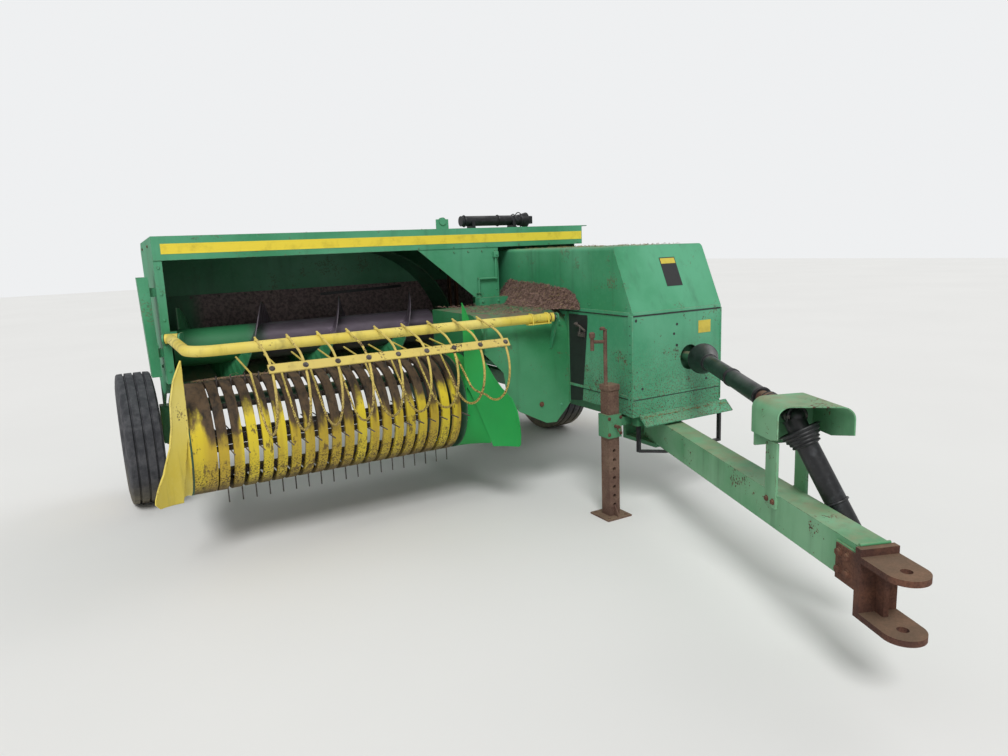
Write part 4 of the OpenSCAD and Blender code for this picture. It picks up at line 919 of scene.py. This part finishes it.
jack = Piece()
for k in range(13):
    z = 44 + k * 25
    jack.box((1804.5, JACK_Y - 12, z), (1805.2, JACK_Y + 12, z + 11), 0.1)
jack.box((1741, -1036, 612), (1809, -964, 640), 3)
jack.stack((1738, JACK_Y, 897), UP, [(-2, 13), (8, 13), (12, 8)], 18)
jack.stack((1679, JACK_Y, 876), UP, [(-12, 13), (8, 14), (14, 8)], 18)
for y in (JACK_Y - 52, JACK_Y + 52):
    jack.bolts((JACK_X - 50, y, 8), (JACK_X + 50, y, 8), 2, UP, 7)
for side in (-1, 1):
    y = JACK_Y + 30 * side
    jack.slab([(JACK_X - 4, y, 8), (JACK_X - 4, y + 34 * side, 8), (JACK_X - 4, y, 60)], (8, 0, 0))
jack.make("jack_fittings", "jack", "jack")
pin = Piece()
pin.tube([(JACK_X, -1066, 446), (JACK_X, -1039, 446)], 8)
pin.ring((JACK_X, -1070, 438), LEFT, 13, 2.5)
for z in (408, 484):
    pin.bolts((JACK_X - 33, -1038.5, z), (JACK_X + 33, -1038.5, z), 2, FORWARD, 7)
pin.make("jack_pin", "main", "rust")

# ---------------------------------------------------------------- rear of the machine

case = Piece()
for y in (-540, 720, 1150, 1480):
    for z in (545, 735, 925):
        case.bolt((1850, y, z), RIGHT, 7)
        case.bolt((2399, y, z), LEFT, 7)
for z in (600, 860):
    case.bolts((1890, 1540, z), (1890, 2500, z), 2, RIGHT, 9)
    case.bolts((2359, 1540, z), (2359, 2500, z), 2, LEFT, 9)
case.make("case_bolts", "main", "rust")
box_trim = Piece()
for z in (800, 1130):
    box_trim.box((1296, 696, z), (1804, 701, z + 14), 1.5)
for x in (1420, 1680):
    box_trim.tube([(x, 690, 1120), (x, 680, 1120), (x, 678, 1180), (x, 684, 1190)], 4)
box_trim.make("twine_box_trim", "main", "green")
lid = Piece()
lid.tube([(1490, 800, 1184), (1490, 800, 1210), (1610, 800, 1210), (1610, 800, 1184)], 6)
for x in (1340, 1760):
    lid.box((x - 16, 1180, 1184), (x + 16, 1236, 1188), 1)
    lid.bolt((x, 1200, 1188), UP, 6)
for y in (850, 980, 1110):
    lid.tube([(1310, y, 1184), (1790, y, 1184)], 4)
lid.make("twine_lid_handle", "twine_lid", "green")
guides = Piece()
for x in (1350, 1450, 1550, 1650, 1750):
    guides.ring((x, 1200, 1162), UP, 14, 3)
guides.make("twine_guides", "main", "steel")
axle_bolts = Piece()
for x, z in ((20, 305), (2279, 317)):
    for y in (612, 668):
        axle_bolts.bolt((x, y, z), DOWN, 9)
axle_bolts.bolts((1900, 646, 510), (2340, 646, 510), 3, UP, 8)
axle_bolts.make("axle_bolts", "main", "rust")

# ---------------------------------------------------------------- hay left on the machine

SHIELD_TOP = 962
HEAP_X = 1845  # the hood's side, against which the chaff is matted
HEAP_LINE = [(-690, 966), (-672, 1000), (-640, 1034), (-586, 1056), (-388, 1078), (3, 1094),
             (70, 1050), (118, 1000)]


def scatter(name, body, count, place, length=(14, 60), look="hay"):
    """Loose stalks, each at a place that place() draws."""
    hay = Piece()
    for _ in range(count):
        hay.blade(place(), rng.uniform(0, math.tau), rng.uniform(*length),
                  rng.uniform(-0.12, 0.12), rng.uniform(1.2, 2.6))
    hay.make(name, body, look)


def heap_top(y):
    """Height of the matted chaff's upper edge."""
    (y0, z0), (y1, z1) = next(two for two in zip(HEAP_LINE, HEAP_LINE[1:]) if y <= two[1][0])
    return z0 + (z1 - z0) * (y - y0) / (y1 - y0)


def heap_reach(y, f):
    """How far the chaff stands off the hood, f of the way down: less towards its top and front."""
    return 4 + (18 + 52 * min(1, max(0, (y + 690) / 420))) * f ** 1.6


def heap_height(top, f):
    """Height of the chaff's surface, f of the way down from its top."""
    return SHIELD_TOP + (top - SHIELD_TOP) * (1 - f) ** 1.2


heap = Piece()
rows = []
for i in range(71):
    y = -688 + 800 * i / 70
    top = heap_top(y) + rng.uniform(-7, 7)
    row = []
    for k in range(9):
        f = k / 8
        reach = heap_reach(y, f) + rng.uniform(-2, 3)
        height = heap_height(top, f) + rng.uniform(-4, 4) * (k < 8)
        row.append((HEAP_X - reach, y + rng.uniform(-3, 3), max(SHIELD_TOP + 0.5, height)))
    rows.append(row)
heap.shell(rows, lambda p: Vector((3, 0, -2)))
heap.make("matted_chaff", "main", "chaff", 60)


def on_shield():
    """On the matted chaff, and thinner over the shield's top."""
    y = rng.uniform(-680, 105)
    f = rng.random()
    if rng.random() < 0.4:
        return (1838 - 420 * rng.random() ** 1.8, max(y, -560), SHIELD_TOP)
    return (HEAP_X - 2 - heap_reach(y, f), y, heap_height(heap_top(y), f) + 2)


def on_bands():
    y = 50 - abs(rng.gauss(0, 130))
    z = 764 - TAIL_DROP * (max(y, -305) - HUB_Y) / TAIL_LONG
    x = BAND_X[rng.randrange(len(BAND_X))] + rng.uniform(-19, 19)
    return (x, max(y, -300), z + rng.uniform(0, 5))


def in_trough():
    a = rng.uniform(-0.9, 0.5)
    return (rng.uniform(60, 1820), 270 + 209 * math.sin(a), 850 - 209 * math.cos(a))


def on_roof():
    y = rng.uniform(40, 560)
    return (rng.uniform(60, 2300), y, 1391 - 20 * y / 580)


def on_hood():
    return (rng.uniform(1870, 2380), rng.uniform(-900, -20), 1266)


def in_lip():
    return (rng.uniform(1900, 2430), rng.uniform(-1100, -1085), 474)


scatter("hay_on_shield", "main", 2600, on_shield, (6, 24), "chaff")
scatter("straws_on_shield", "main", 260, on_shield, (8, 30))
scatter("hay_on_bands", "pickup", 420, on_bands)
scatter("dirt_on_bands", "pickup", 900, on_bands, (8, 30), "chaff")
scatter("hay_in_trough", "main", 260, in_trough)
scatter("hay_on_roof", "main", 60, on_roof, (10, 30))
scatter("hay_on_hood", "main", 160, on_hood, (8, 26))
scatter("hay_in_lip", "main", 120, in_lip, (6, 20))

# ---------------------------------------------------------------- camera, light and floor

SENSOR = 36  # mm
FOCAL, PHOTO_WIDTH = 731, 1008  # pixels of the photograph

camera = bpy.data.objects.new("camera", bpy.data.cameras.new("camera"))
right, up = Vector((0.864, -0.501, -0.038)), Vector((0.123, 0.138, 0.983))
back = Vector((-0.488, -0.854, 0.181)).normalized()
right = (right - back * right.dot(back)).normalized()
up = back.cross(right)
camera.matrix_world = Matrix((right, up, back)).transposed().to_4x4()
camera.location = at(-302, -3650, 1300)
camera.data.sensor_width = SENSOR
camera.data.lens = SENSOR * FOCAL / PHOTO_WIDTH
bpy.context.collection.objects.link(camera)
bpy.context.scene.camera = camera


def sun(name, strength, angle, heading, height):
    """Soft sun lamp: its own angle, and the heading and height it shines from, in degrees."""
    lamp = bpy.data.objects.new(name, bpy.data.lights.new(name, "SUN"))
    lamp.data.energy = strength
    lamp.data.angle = math.radians(angle)
    heading, height = math.radians(heading), math.radians(height)
    toward = Vector((math.cos(heading), math.sin(heading), math.tan(height)))
    lamp.rotation_mode = "QUATERNION"
    lamp.rotation_quaternion = toward.to_track_quat("Z", "Y")
    bpy.context.collection.objects.link(lamp)


sun("key", 1.9, 22, -120, 48)
sun("fill", 0.5, 40, 10, 35)

# The world lights the part at one level and shows as a pale backdrop at another
world = bpy.data.worlds.new("studio")
bpy.context.scene.world = world
world.use_nodes = True
tree = world.node_tree
light = tree.nodes["Background"]
light.inputs["Color"].default_value = (1, 1, 1, 1)
light.inputs["Strength"].default_value = 0.52
shown = tree.nodes.new("ShaderNodeBackground")
shown.inputs["Color"].default_value = (0.86, 0.87, 0.88, 1)
rays = tree.nodes.new("ShaderNodeLightPath")
mixer = tree.nodes.new("ShaderNodeMixShader")
tree.links.new(rays.outputs["Is Camera Ray"], mixer.inputs[0])
tree.links.new(light.outputs[0], mixer.inputs[1])
tree.links.new(shown.outputs[0], mixer.inputs[2])
tree.links.new(mixer.outputs[0], tree.nodes["World Output"].inputs[0])
bpy.ops.mesh.primitive_plane_add(size=60, location=(0, 0, 0))
floor = bpy.context.object
floor.name = "floor"
pale = Shade("floor_pale")
tone = pale.mix(pale.noise(0.5), linear(222, 222, 220), linear(230, 230, 228))
floor.data.materials.append(pale.finish(tone, 0.9))

bpy.context.scene.view_settings.view_transform = "Standard"
